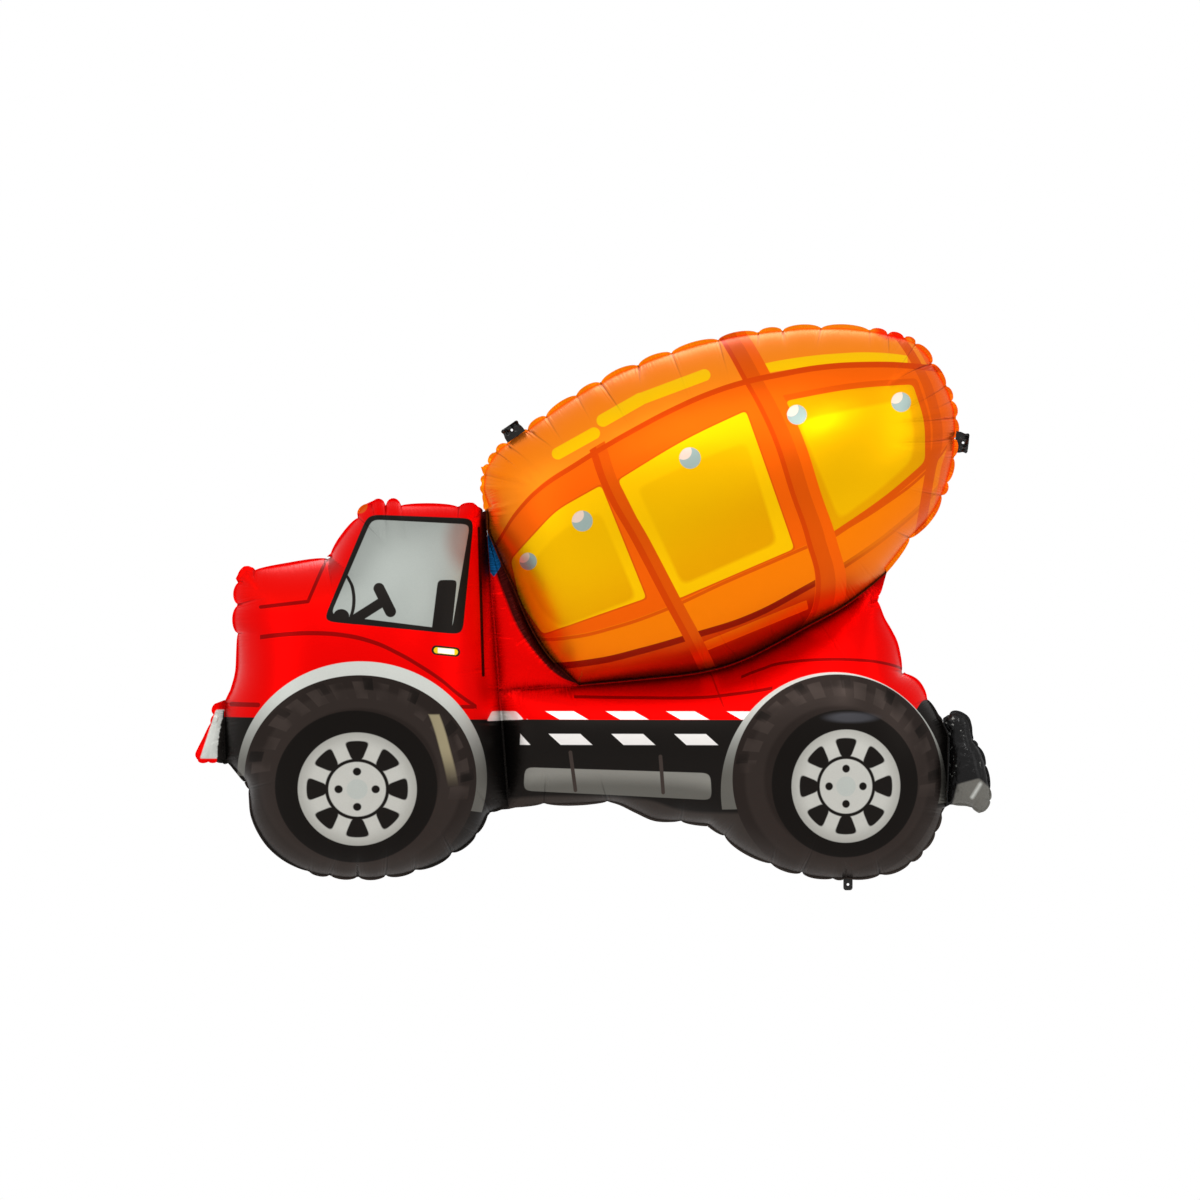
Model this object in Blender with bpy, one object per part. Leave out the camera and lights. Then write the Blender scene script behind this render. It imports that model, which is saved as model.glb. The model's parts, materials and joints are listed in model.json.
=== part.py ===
"""Toy cement mixer made as an inflated film balloon.

The balloon is two sheets of film welded face to face. The outer seam and four
inner weld lines divide it into six gas chambers: cab, chassis, drum, gusset,
front bumper and rear bumper. Each chamber is a front panel and a back panel.
Three small tabs with eyelets stand on the outer seam, and the two plies of the
self-sealing valve lie inside the rear wheel.

Metres, +Z up, +X towards the tail, front panels on the -Y side. The origin is
the centre of the tether tab's eyelet, in the plane of the seam.
"""

import math

import bmesh
import bpy
import numpy as np
from mathutils import Matrix, Vector
from mathutils.geometry import delaunay_2d_cdt

# Overall size of the inflated outline, and the size that the outline is drawn at.
LENGTH = 0.900
HEIGHT = 0.631
DRAWN_LENGTH = 0.900
DRAWN_HEIGHT = 0.631

# Film and seams.
FILM = 0.0008
PLY_GAP = 0.0003
FOLD_GAP = 0.0008
SEAM_FLANGE = 0.005
WELD_FLANGE = 0.004

# How far the chambers swell, and how steeply a panel leaves its seam.
FULLNESS = 0.86
SEAM_ROUNDING = 0.026
BUMPER_FULLNESS = 0.62
BUMPER_ROUNDING = 0.010
GUSSET_FULLNESS = 0.60

# Fineness of the panels.
SEAM_STEP = 0.020
PANEL_STEP = 0.030
BUMPER_STEP = 0.012

# Tabs and eyelets.
HANG_TAB_WIDTH = 0.024
HANG_TAB_REACH = 0.0105
TETHER_TAB_WIDTH = 0.0105
TETHER_TAB_BELOW = 0.0065
TAB_FILM = 0.0006
TAB_CORNER = 0.0030
EYELET_RADIUS = 0.0014
EYELET_SETBACK = 0.0042

# Self-sealing valve, two plies with a filling channel between them.
VALVE_WIDTH = 0.022
VALVE_LENGTH = 0.085
VALVE_PLY = 0.0006
VALVE_RISE = 0.011

# Corners where chambers meet, as (x, z).
CAB_WELD_TOP = (-0.409, 0.421)
GUSSET_TOP = (-0.4073, 0.3990)
GUSSET_FOOT = (-0.3933, 0.2190)
CAB_WELD_FOOT = (-0.383, 0.0865)
GUSSET_END = (-0.305, 0.2250)
DRUM_REAR = (0.043, 0.351)
FRONT_BUMPER_TOP = (-0.704, 0.207)
FRONT_BUMPER_FOOT = (-0.704, 0.137)
REAR_BUMPER_TOP = (0.113, 0.169)
REAR_BUMPER_FOOT = (0.111, 0.0885)

# The folding chambers' corners, set back from the weld lines that they fold on.
CAB_SIDE_TOP = (CAB_WELD_TOP[0] - FOLD_GAP, CAB_WELD_TOP[1])
CAB_SIDE_FOOT = (CAB_WELD_FOOT[0] - FOLD_GAP, CAB_WELD_FOOT[1])
FRONT_BUMPER_SIDE_TOP = (FRONT_BUMPER_TOP[0] - FOLD_GAP, FRONT_BUMPER_TOP[1])
FRONT_BUMPER_SIDE_FOOT = (FRONT_BUMPER_FOOT[0] - FOLD_GAP, FRONT_BUMPER_FOOT[1])
REAR_BUMPER_SIDE_TOP = (REAR_BUMPER_TOP[0] + FOLD_GAP, REAR_BUMPER_TOP[1])
REAR_BUMPER_SIDE_FOOT = (REAR_BUMPER_FOOT[0] + FOLD_GAP, REAR_BUMPER_FOOT[1])

# The tyres' lowest points.
TYRE_BOTTOM = 0.0045
FRONT_WHEEL_X = -0.554
REAR_WHEEL_X = -0.003

# Where the two hanging tabs stand on the drum's seam.
HANG_TABS = {"hang_tab_left": (-0.376, 0.508), "hang_tab_right": (0.124, 0.500)}

# Stretches of seam between those corners. Each one is a smooth curve.
ROOF = [CAB_SIDE_TOP, (-0.424, 0.4295), (-0.461, 0.431), (-0.506, 0.431), (-0.541, 0.430)]
WINDSCREEN = [(-0.541, 0.430), (-0.556, 0.417), (-0.574, 0.394), (-0.589, 0.373)]
HOOD = [(-0.589, 0.373), (-0.633, 0.364), (-0.678, 0.358)]
GRILLE = [(-0.678, 0.358), (-0.690, 0.345), (-0.693, 0.300), (-0.693, 0.240), FRONT_BUMPER_TOP]
FRONT_TYRE = [
    FRONT_BUMPER_FOOT,
    (-0.683, 0.115),
    (-0.676, 0.078),
    (-0.655, 0.041),
    (-0.614, 0.0135),
    (FRONT_WHEEL_X, TYRE_BOTTOM),
    (-0.497, 0.0105),
    (-0.450, 0.029),
    (-0.418, 0.055),
    (-0.406, 0.077),
]
CAB_CORNER = [(-0.406, 0.077), (-0.395, 0.083), CAB_SIDE_FOOT]
UNDERSIDE = [CAB_WELD_FOOT, (-0.320, 0.0885), (-0.260, 0.0885), (-0.220, 0.0715), (-0.159, 0.0655)]
REAR_TYRE = [
    (-0.159, 0.0655),
    (-0.131, 0.043),
    (-0.095, 0.0235),
    (-0.050, 0.0085),
    (REAR_WHEEL_X, TYRE_BOTTOM),
    (0.044, 0.0095),
    (0.078, 0.027),
    (0.100, 0.056),
    REAR_BUMPER_FOOT,
]
TAIL_LAMPS = [REAR_BUMPER_TOP, (0.104, 0.189), (0.094, 0.209), (0.081, 0.230), (0.065, 0.242)]
TAIL_PANEL = [(0.065, 0.242), (0.056, 0.275), (0.042, 0.303), (0.037, 0.326), DRUM_REAR]
DRUM_WELD = [
    DRUM_REAR,
    (0.000, 0.317),
    (-0.045, 0.292),
    (-0.113, 0.256),
    (-0.164, 0.240),
    (-0.230, 0.232),
    GUSSET_END,
]
GUSSET_CREASE = [GUSSET_END, (-0.348, 0.2225), GUSSET_FOOT]
DRUM_NOSE = [GUSSET_TOP, (-0.394, 0.367), (-0.380, 0.338), (-0.360, 0.292), (-0.337, 0.256), GUSSET_END]
DRUM_BACK = [
    DRUM_REAR,
    (0.068, 0.381),
    (0.104, 0.425),
    (0.123, 0.482),
    (0.124, 0.538),
    (0.105, 0.582),
    (0.078, 0.6155),
    (0.021, 0.631),
    (-0.053, 0.633),
    (-0.145, 0.621),
    (-0.236, 0.593),
    (-0.303, 0.560),
    (-0.365, 0.518),
    (-0.400, 0.492),
    (-0.414, 0.470),
    (-0.416, 0.445),
    CAB_WELD_TOP,
]
FRONT_BUMPER_TIP = [
    FRONT_BUMPER_SIDE_TOP,
    (-0.715, 0.198),
    (-0.729, 0.166),
    (-0.7385, 0.146),
    (-0.734, 0.138),
    FRONT_BUMPER_SIDE_FOOT,
]
REAR_BUMPER_KNOB = [
    REAR_BUMPER_SIDE_TOP,
    (0.108, 0.184),
    (0.117, 0.1945),
    (0.132, 0.188),
    (0.139, 0.169),
]
REAR_BUMPER_TIP = [
    (0.139, 0.169),
    (0.153, 0.150),
    (0.161, 0.118),
    (0.1615, 0.092),
    (0.151, 0.080),
    (0.134, 0.088),
    REAR_BUMPER_SIDE_FOOT,
]


def placed(point):
    """A drawn outline point at the finished size."""
    return np.array((point[0] * LENGTH / DRAWN_LENGTH, point[1] * HEIGHT / DRAWN_HEIGHT))


def straight(start, end, step):
    """Points from start up to, but not including, end."""
    start, end = placed(start), placed(end)
    count = max(1, round(float(np.linalg.norm(end - start)) / step))
    return [start + (end - start) * i / count for i in range(count)]


def curve(points, step):
    """Points along a Catmull-Rom curve through the given ones, without the last."""
    knots = [placed(p) for p in points]
    knots = [2 * knots[0] - knots[1], *knots, 2 * knots[-1] - knots[-2]]
    line = []
    for before, start, end, after in zip(knots, knots[1:], knots[2:], knots[3:]):
        count = max(1, round(float(np.linalg.norm(end - start)) / step))
        for i in range(count):
            t = i / count
            line.append(
                0.5 * (2 * start + (end - before) * t
                       + (2 * before - 5 * start + 4 * end - after) * t * t
                       + (3 * start - before - 3 * end + after) * t ** 3)
            )
    return line


def backwards(points, step):
    """The same curve run the other way, through exactly the same points."""
    line = curve(points, step)
    return [placed(points[-1])] + line[:0:-1]


def facing_in(loop):
    """The unit normals of a closed loop's points that point into it, with mitres."""
    loop = np.array(loop)
    after = np.roll(loop, -1, axis=0) - loop
    after /= np.linalg.norm(after, axis=1)[:, None]
    before = np.roll(after, 1, axis=0)
    area = np.sum(loop[:, 0] * np.roll(loop[:, 1], -1) - np.roll(loop[:, 0], -1) * loop[:, 1])
    turn = 1.0 if area > 0 else -1.0
    normal = turn * np.stack([-(before + after)[:, 1], (before + after)[:, 0]], axis=1)
    normal /= np.linalg.norm(normal, axis=1)[:, None]
    edge = turn * np.stack([-after[:, 1], after[:, 0]], axis=1)
    stretch = np.maximum(np.sum(normal * edge, axis=1), 0.2)
    return normal / stretch[:, None]


def distance_to_loop(points, loop):
    """How far each point is from a closed loop's nearest edge."""
    best = np.full(len(points), np.inf)
    for start, end in zip(loop, np.roll(loop, -1, axis=0)):
        along = end - start
        t = np.clip((points - start) @ along / (along @ along), 0, 1)
        best = np.minimum(best, np.linalg.norm(points - start - t[:, None] * along, axis=1))
    return best


def is_inside(points, loop):
    """True for each point that lies inside a closed loop."""
    inside = np.zeros(len(points), bool)
    for (x0, z0), (x1, z1) in zip(loop, np.roll(loop, -1, axis=0)):
        crosses = (points[:, 1] < z0) != (points[:, 1] < z1)
        with np.errstate(divide="ignore", invalid="ignore"):
            reach = x0 + (points[:, 1] - z0) * (x1 - x0) / (z1 - z0)
        inside ^= crosses & (points[:, 0] < reach)
    return inside


def flat_panel(loop, flange, step):
    """A triangulated flat panel: its points, its triangles and which points swell."""
    ring = loop + facing_in(loop) * flange
    ring = ring[is_inside(ring, loop) & (distance_to_loop(ring, loop) > 0.9 * flange)]
    low, high = loop.min(axis=0), loop.max(axis=0)
    rows = np.arange(low[1], high[1], step * math.sqrt(0.75))
    grid = [(x + step * 0.5 * (i % 2), z)
            for i, z in enumerate(rows) for x in np.arange(low[0], high[0], step)]
    grid = np.array(grid)
    grid = grid[is_inside(grid, loop)]
    grid = grid[distance_to_loop(grid, loop) > flange + 0.45 * step]
    points = [Vector(p) for p in (*loop, *ring, *grid)]
    border = [(i, (i + 1) % len(loop)) for i in range(len(loop))]
    points, _, faces, _, _, _ = delaunay_2d_cdt(points, border, [], 1, 1e-7)
    points = np.array([tuple(p) for p in points])
    free = distance_to_loop(points, loop) > 1.05 * flange
    return points, [tuple(face) for face in faces], free


def membrane(points, faces, free):
    """The soap-film height that even gas pressure gives each free point."""
    count = len(points)
    stiffness = np.zeros((count, count))
    load = np.zeros(count)
    for face in faces:
        corner = points[list(face)]
        area = 0.5 * abs(np.linalg.det(np.stack([corner[1] - corner[0], corner[2] - corner[0]])))
        for i in range(3):
            load[face[i]] += area / 3
            a, b = face[(i + 1) % 3], face[(i + 2) % 3]
            u, v = points[a] - points[face[i]], points[b] - points[face[i]]
            weight = (u @ v) / (4 * area)
            stiffness[a, b] -= weight
            stiffness[b, a] -= weight
            stiffness[a, a] += weight
            stiffness[b, b] += weight
    height = np.zeros(count)
    inner = np.flatnonzero(free)
    height[inner] = np.linalg.solve(stiffness[np.ix_(inner, inner)], load[inner])
    return np.maximum(height, 0)


def swollen_height(points, faces, free, fullness, rounding):
    """How far a panel stands off the seam's plane when its chamber is full."""
    height = membrane(points, faces, free)
    return fullness * (np.sqrt(rounding ** 2 + 2 * height) - rounding)


def finish(name):
    """The material of one film, from its colour, roughness and metallic value."""
    colour, roughness, metallic = FINISHES[name]
    material = bpy.data.materials.get(name)
    if material is None:
        material = bpy.data.materials.new(name)
        material.use_nodes = True
        shader = material.node_tree.nodes["Principled BSDF"]
        shader.inputs["Base Color"].default_value = (*colour, 1.0)
        shader.inputs["Roughness"].default_value = roughness
        shader.inputs["Metallic"].default_value = metallic
    return material


FINISHES = {
    "red_film": ((0.80, 0.01, 0.01), 0.22, 0.55),
    "orange_film": ((0.92, 0.27, 0.01), 0.22, 0.55),
    "black_film": ((0.03, 0.025, 0.02), 0.25, 0.35),
    "silver_film": ((0.60, 0.62, 0.60), 0.25, 0.90),
    "clear_film": ((0.80, 0.82, 0.84), 0.30, 0.10),
}


def add_node(name, shape, material, parent=None):
    """One named solid from a bmesh in world coordinates, hung from its axis empty."""
    bmesh.ops.recalc_face_normals(shape, faces=shape.faces)
    place = parent.matrix_world.translation if parent else Vector()
    bmesh.ops.translate(shape, verts=shape.verts, vec=-place)
    mesh = bpy.data.meshes.new(name)
    shape.to_mesh(mesh)
    shape.free()
    mesh.materials.append(finish(material))
    mesh.shade_smooth()
    mesh.set_sharp_from_angle(angle=math.radians(40))
    node = bpy.data.objects.new(name, mesh)
    node.parent = parent
    bpy.context.collection.objects.link(node)
    return node


def add_axis(name, point, parent=None):
    """An empty on a joint's axis, at an (x, z) point in the plane of the seam."""
    empty = bpy.data.objects.new(name, None)
    empty.empty_display_size = 0.03
    place = Vector((point[0], 0, point[1]))
    empty.location = place - (parent.matrix_world.translation if parent else Vector())
    empty.parent = parent
    bpy.context.collection.objects.link(empty)
    bpy.context.view_layer.update()
    return empty


def film_panel(name, flat, height, side, material, parent=None):
    """A swollen film panel on one side of the seam: side is -1 in front, 1 behind."""
    points, faces, _ = flat
    shape = bmesh.new()
    inner = [shape.verts.new((p[0], side * (PLY_GAP / 2 + h), p[1])) for p, h in zip(points, height)]
    for face in faces:
        shape.faces.new([inner[i] for i in face])
    grown = bmesh.ops.extrude_face_region(shape, geom=shape.faces[:], use_keep_orig=True)
    outer = [v for v in grown["geom"] if isinstance(v, bmesh.types.BMVert)]
    bmesh.ops.translate(shape, verts=outer, vec=(0, side * FILM, 0))
    return add_node(name, shape, material, parent)


def chamber(name, loop, flange, step, fullness, rounding, material, parent=None):
    """Both panels of one gas chamber, inside its outline less the weld's clearance."""
    loop = np.array(loop)
    loop = loop + facing_in(loop) * PLY_GAP / 2
    flat = flat_panel(loop, flange, step)
    height = swollen_height(*flat, fullness, rounding)
    film_panel(f"{name}_front_film", flat, height, -1, material, parent)
    film_panel(f"{name}_back_film", flat, height, 1, material, parent)
    return loop


def tab(name, root, outward, width, reach, setback, parent=None):
    """A flat tab on the seam with a round eyelet.

    root is the (x, z) middle of its root line, outward the way that it stands, and
    setback the eyelet's distance from the root line.
    """
    turn = math.atan2(-outward[0], outward[1])
    place = Matrix.Translation((root[0], 0, root[1])) @ Matrix.Rotation(-turn, 4, "Y")
    shape = bmesh.new()
    box = Matrix.Translation((0, 0, reach / 2)) @ Matrix.Diagonal((width, TAB_FILM, reach, 1))
    bmesh.ops.create_cube(shape, size=1.0, matrix=box)
    corners = [e for e in shape.edges
               if all(v.co.z > reach / 2 for v in e.verts) and e.verts[0].co.x == e.verts[1].co.x]
    bmesh.ops.bevel(shape, geom=corners, offset=TAB_CORNER, segments=4, profile=0.5, affect="EDGES")
    bmesh.ops.transform(shape, matrix=place, verts=shape.verts)
    node = add_node(name, shape, "black_film", parent)

    hole = bmesh.new()
    bmesh.ops.create_cone(
        hole, cap_ends=True, segments=20, radius1=EYELET_RADIUS, radius2=EYELET_RADIUS,
        depth=TAB_FILM * 4,
        matrix=place @ Matrix.Translation((0, 0, setback)) @ Matrix.Rotation(math.pi / 2, 4, "X"),
    )
    cutter = add_node(f"{name}_eyelet_cutter", hole, "black_film", parent)
    cutter.hide_render = True
    cutter.display_type = "WIRE"
    cut = node.modifiers.new("eyelet", "BOOLEAN")
    cut.operation = "DIFFERENCE"
    cut.solver = "EXACT"
    cut.object = cutter
    return node


def seam_edge(loop, aim):
    """The place on the loop's edges nearest aim, and the way out of the loop there."""
    after = np.roll(loop, -1, axis=0)
    middle = (loop + after) / 2
    nearest = int(np.argmin(np.linalg.norm(middle - aim, axis=1)))
    along = after[nearest] - loop[nearest]
    along /= np.linalg.norm(along)
    root = loop[nearest] + along * np.dot(aim - loop[nearest], along)
    outward = np.array((along[1], -along[0]))
    if is_inside((root + outward * PLY_GAP)[None, :], loop)[0]:
        outward = -outward
    return root, outward


def valve_ply(name, side, foot, parent=None):
    """One ply of the valve, on its side of the seam's plane, rising from its foot."""
    shape = bmesh.new()
    size = Matrix.Diagonal((VALVE_WIDTH, VALVE_PLY, VALVE_LENGTH, 1))
    middle = (foot[0], side * (PLY_GAP + VALVE_PLY) / 2, foot[1] + VALVE_LENGTH / 2)
    bmesh.ops.create_cube(shape, size=1.0, matrix=Matrix.Translation(middle) @ size)
    ends = [e for e in shape.edges if e.verts[0].co.x == e.verts[1].co.x
            and e.verts[0].co.z == e.verts[1].co.z]
    bmesh.ops.bevel(shape, geom=ends, offset=VALVE_WIDTH * 0.2, segments=3, profile=0.5,
                    affect="EDGES")
    return add_node(name, shape, "clear_film", parent)


def main():
    """Build every chamber, then the tabs and the valve."""
    for old in list(bpy.data.objects):
        bpy.data.objects.remove(old, do_unlink=True)

    cab_axis = add_axis("cab_fold_axis", placed(CAB_WELD_TOP))
    front_axis = add_axis("front_bumper_axis", placed(FRONT_BUMPER_TOP), cab_axis)
    rear_axis = add_axis("rear_bumper_axis", placed(REAR_BUMPER_TOP))
    valve_axis = add_axis("valve_axis", placed((REAR_WHEEL_X, TYRE_BOTTOM + VALVE_RISE)))

    cab = [
        *straight(CAB_SIDE_FOOT, CAB_SIDE_TOP, SEAM_STEP),
        *curve(ROOF, SEAM_STEP),
        *curve(WINDSCREEN, SEAM_STEP),
        *curve(HOOD, SEAM_STEP),
        *curve(GRILLE, SEAM_STEP),
        *straight(FRONT_BUMPER_TOP, FRONT_BUMPER_FOOT, SEAM_STEP),
        *curve(FRONT_TYRE, SEAM_STEP),
        *curve(CAB_CORNER, SEAM_STEP),
    ]
    chassis = [
        *straight(GUSSET_FOOT, CAB_WELD_FOOT, SEAM_STEP),
        *curve(UNDERSIDE, SEAM_STEP),
        *curve(REAR_TYRE, SEAM_STEP),
        *straight(REAR_BUMPER_FOOT, REAR_BUMPER_TOP, SEAM_STEP),
        *curve(TAIL_LAMPS, SEAM_STEP),
        *curve(TAIL_PANEL, SEAM_STEP),
        *curve(DRUM_WELD, SEAM_STEP),
        *curve(GUSSET_CREASE, SEAM_STEP),
    ]
    drum = [
        *backwards(DRUM_WELD, SEAM_STEP),
        *curve(DRUM_BACK, SEAM_STEP),
        *straight(CAB_WELD_TOP, GUSSET_TOP, SEAM_STEP),
        *curve(DRUM_NOSE, SEAM_STEP),
    ]
    gusset = [
        *straight(GUSSET_TOP, GUSSET_FOOT, SEAM_STEP),
        *backwards(GUSSET_CREASE, SEAM_STEP),
        *backwards(DRUM_NOSE, SEAM_STEP),
    ]
    front_bumper = [
        *straight(FRONT_BUMPER_SIDE_FOOT, FRONT_BUMPER_SIDE_TOP, BUMPER_STEP),
        *curve(FRONT_BUMPER_TIP, BUMPER_STEP),
    ]
    rear_bumper = [
        *straight(REAR_BUMPER_SIDE_FOOT, REAR_BUMPER_SIDE_TOP, BUMPER_STEP),
        *curve(REAR_BUMPER_KNOB, BUMPER_STEP),
        *curve(REAR_BUMPER_TIP, BUMPER_STEP),
    ]

    big = (WELD_FLANGE, PANEL_STEP, FULLNESS, SEAM_ROUNDING)
    small = (WELD_FLANGE, BUMPER_STEP, BUMPER_FULLNESS, BUMPER_ROUNDING)
    chamber("cab", cab, *big, "red_film", cab_axis)
    chamber("chassis", chassis, *big, "red_film")
    drum_seam = chamber("drum", drum, SEAM_FLANGE, PANEL_STEP, FULLNESS, SEAM_ROUNDING, "orange_film")
    chamber("gusset", gusset, WELD_FLANGE, BUMPER_STEP * 1.5, GUSSET_FULLNESS, BUMPER_ROUNDING, "red_film")
    chamber("front_bumper", front_bumper, *small, "silver_film", front_axis)
    chamber("rear_bumper", rear_bumper, *small, "black_film", rear_axis)

    for name, aim in HANG_TABS.items():
        root, outward = seam_edge(drum_seam, placed(aim))
        axis = add_axis(f"{name}_axis", root)
        root = root + outward * FOLD_GAP
        tab(name, root, outward, HANG_TAB_WIDTH, HANG_TAB_REACH, EYELET_SETBACK, axis)

    tyre = placed((REAR_WHEEL_X, TYRE_BOTTOM))
    root = tyre[1] - PLY_GAP / 2
    tab("tether_tab", (0, root), (0, -1), TETHER_TAB_WIDTH, root + TETHER_TAB_BELOW, root)

    foot = (tyre[0], tyre[1] + VALVE_RISE)
    valve_ply("valve_front_ply", -1, foot)
    valve_ply("valve_back_ply", 1, foot, valve_axis)


main()
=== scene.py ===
"""Looks of a toy cement mixer made as an inflated film balloon.

Each gas chamber is two printed film panels that share one seam. A panel starts as
a flat grid cut to its seam, swells to the height that even gas pressure gives it,
is puckered along the seam, and gets its flat weld margin by extruding the rim.
The print is drawn in the plane of the seam, so both faces of the balloon carry it.

Metres, +X towards the tail, +Z up, front panels on the -Y side.
"""

import json
import logging
import math
from collections.abc import Sequence
from dataclasses import dataclass, field, replace
from enum import Enum

import bmesh
import bpy
import numpy as np
from mathutils import Matrix, Vector


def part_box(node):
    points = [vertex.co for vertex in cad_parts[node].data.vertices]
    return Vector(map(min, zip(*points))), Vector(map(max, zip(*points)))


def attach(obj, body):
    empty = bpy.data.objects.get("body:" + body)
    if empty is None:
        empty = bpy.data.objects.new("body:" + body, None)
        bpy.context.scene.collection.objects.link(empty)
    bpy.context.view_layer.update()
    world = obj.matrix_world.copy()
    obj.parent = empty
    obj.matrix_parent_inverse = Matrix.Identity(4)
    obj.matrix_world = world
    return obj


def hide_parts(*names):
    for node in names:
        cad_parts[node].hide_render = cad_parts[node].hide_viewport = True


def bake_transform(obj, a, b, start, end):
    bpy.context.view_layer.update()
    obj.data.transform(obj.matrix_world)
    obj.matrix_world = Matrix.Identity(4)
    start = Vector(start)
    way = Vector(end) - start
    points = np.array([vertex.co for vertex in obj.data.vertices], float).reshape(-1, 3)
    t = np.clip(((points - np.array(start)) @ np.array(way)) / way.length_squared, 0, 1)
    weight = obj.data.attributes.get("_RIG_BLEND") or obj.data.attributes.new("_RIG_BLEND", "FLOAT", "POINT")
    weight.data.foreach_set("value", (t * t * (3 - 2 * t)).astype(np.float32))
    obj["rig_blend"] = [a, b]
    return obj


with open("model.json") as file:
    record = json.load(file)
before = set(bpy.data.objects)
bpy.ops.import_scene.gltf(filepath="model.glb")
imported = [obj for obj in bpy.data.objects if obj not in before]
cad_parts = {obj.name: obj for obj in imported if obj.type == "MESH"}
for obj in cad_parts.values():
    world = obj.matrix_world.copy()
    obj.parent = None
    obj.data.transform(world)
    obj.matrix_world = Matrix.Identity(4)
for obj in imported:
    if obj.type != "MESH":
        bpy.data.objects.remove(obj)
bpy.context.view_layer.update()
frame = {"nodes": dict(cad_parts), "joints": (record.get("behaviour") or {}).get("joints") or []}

LOG = logging.getLogger("cement_mixer")
SMOOTH_ANGLE = math.radians(42)
MARKS = ("seam_run", "seam_depth", "crease_aside", "crease_gap", "crease_power", "weld_near")

Point = tuple[float, float]
Colour = tuple[float, float, float]


class Side(Enum):
    """The side of the seam that a panel swells to, as the sign of its Y."""

    FRONT = -1
    BACK = 1


def srgb(red: int, green: int, blue: int) -> Colour:
    """A linear colour from its display values.

    Args:
        red, green, blue: display values from 0 to 255.

    Returns:
        The linear colour that shader sockets take.
    """
    def linear(value: int) -> float:
        """One channel."""
        share = value / 255
        return share / 12.92 if share <= 0.04045 else ((share + 0.055) / 1.055) ** 2.4

    return linear(red), linear(green), linear(blue)


class Ink(Enum):
    """The colours that the film is printed in."""

    RED = srgb(238, 1, 0)
    LIGHT_RED = srgb(252, 14, 4)
    DARK_RED = srgb(150, 4, 3)
    MAROON = srgb(62, 8, 6)
    BLACK = srgb(30, 27, 25)
    TYRE = srgb(44, 37, 34)
    TREAD = srgb(66, 57, 53)
    SIDEWALL = srgb(26, 23, 21)
    LOW_BLACK = srgb(60, 53, 49)
    SILVER = srgb(206, 208, 202)
    RIM = srgb(200, 199, 192)
    GLASS = srgb(160, 165, 160)
    HUB = srgb(190, 194, 188)
    SHADED_SILVER = srgb(104, 102, 96)
    WHITE = srgb(244, 240, 236)
    FLUSHED_GLASS = srgb(140, 112, 103)
    MID_SILVER = srgb(140, 138, 131)
    TAB_BLACK = srgb(12, 11, 11)
    CREAM = srgb(170, 158, 126)
    YELLOW_END = srgb(240, 205, 30)
    BLUE = srgb(12, 78, 128)
    SHEEN = srgb(92, 92, 98)
    ORANGE = srgb(252, 128, 4)
    LIGHT_ORANGE = srgb(250, 140, 30)
    RED_ORANGE = srgb(246, 98, 6)
    BURNT_ORANGE = srgb(226, 86, 6)
    DEEP_ORANGE = srgb(216, 68, 4)
    SHADE_ORANGE = srgb(150, 26, 4)
    YELLOW = srgb(246, 186, 0)
    BRIGHT_YELLOW = srgb(254, 196, 2)
    DEEP_YELLOW = srgb(236, 164, 0)
    RIVET = srgb(160, 178, 172)
    RIVET_LIGHT = srgb(236, 208, 190)


class Value:
    """A shader socket that takes part in sums and products."""

    def __init__(self, tree: bpy.types.NodeTree, socket: bpy.types.NodeSocket) -> None:
        """Args: tree holds the nodes, socket is the output that this value stands for."""
        self.tree = tree
        self.socket = socket

    def math(self, operation: str, *others: "Value | float", clamp: bool = False) -> "Value":
        """A Math node on this value.

        Args:
            operation: the node's operation.
            others: its second and third inputs.
            clamp: whether the result is kept from 0 to 1.

        Returns:
            The node's result.
        """
        return maths(self.tree, operation, self, *others, clamp=clamp)

    def __add__(self, other: "Value | float") -> "Value":
        """The sum."""
        return self.math("ADD", other)

    __radd__ = __add__

    def __sub__(self, other: "Value | float") -> "Value":
        """The difference."""
        return self.math("SUBTRACT", other)

    def __rsub__(self, other: float) -> "Value":
        """The difference from a number."""
        return maths(self.tree, "SUBTRACT", other, self)

    def __mul__(self, other: "Value | float") -> "Value":
        """The product."""
        return self.math("MULTIPLY", other)

    __rmul__ = __mul__

    def __truediv__(self, other: "Value | float") -> "Value":
        """The quotient."""
        return self.math("DIVIDE", other)

    def __neg__(self) -> "Value":
        """The opposite."""
        return self.math("MULTIPLY", -1.0)

    def __abs__(self) -> "Value":
        """The size without its sign."""
        return self.math("ABSOLUTE")

    def __mod__(self, other: float) -> "Value":
        """The remainder, never below 0."""
        return self.math("FLOORED_MODULO", other)

    def __and__(self, other: "Value") -> "Value":
        """Inside both shapes."""
        return self.math("MINIMUM", other)

    def __or__(self, other: "Value | float") -> "Value":
        """Inside either shape."""
        return self.math("MAXIMUM", other)

    def mask(self, edge: float = 0.0007) -> "Value":
        """1 where this distance is above 0, and 0 elsewhere.

        Args:
            edge: how wide the change from 0 to 1 is.

        Returns:
            The mask.
        """
        return self.math("MULTIPLY_ADD", 1 / edge, 0.5, clamp=True)

    def fade(self, start: float, end: float) -> "Value":
        """0 at start and 1 at end, with soft shoulders.

        Args:
            start, end: the values at which the fade begins and is complete.

        Returns:
            The fade.
        """
        node = self.tree.nodes.new("ShaderNodeMapRange")
        node.interpolation_type = "SMOOTHSTEP"
        self.tree.links.new(self.socket, node.inputs["Value"])
        node.inputs["From Min"].default_value = start
        node.inputs["From Max"].default_value = end
        return Value(self.tree, node.outputs["Result"])


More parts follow.
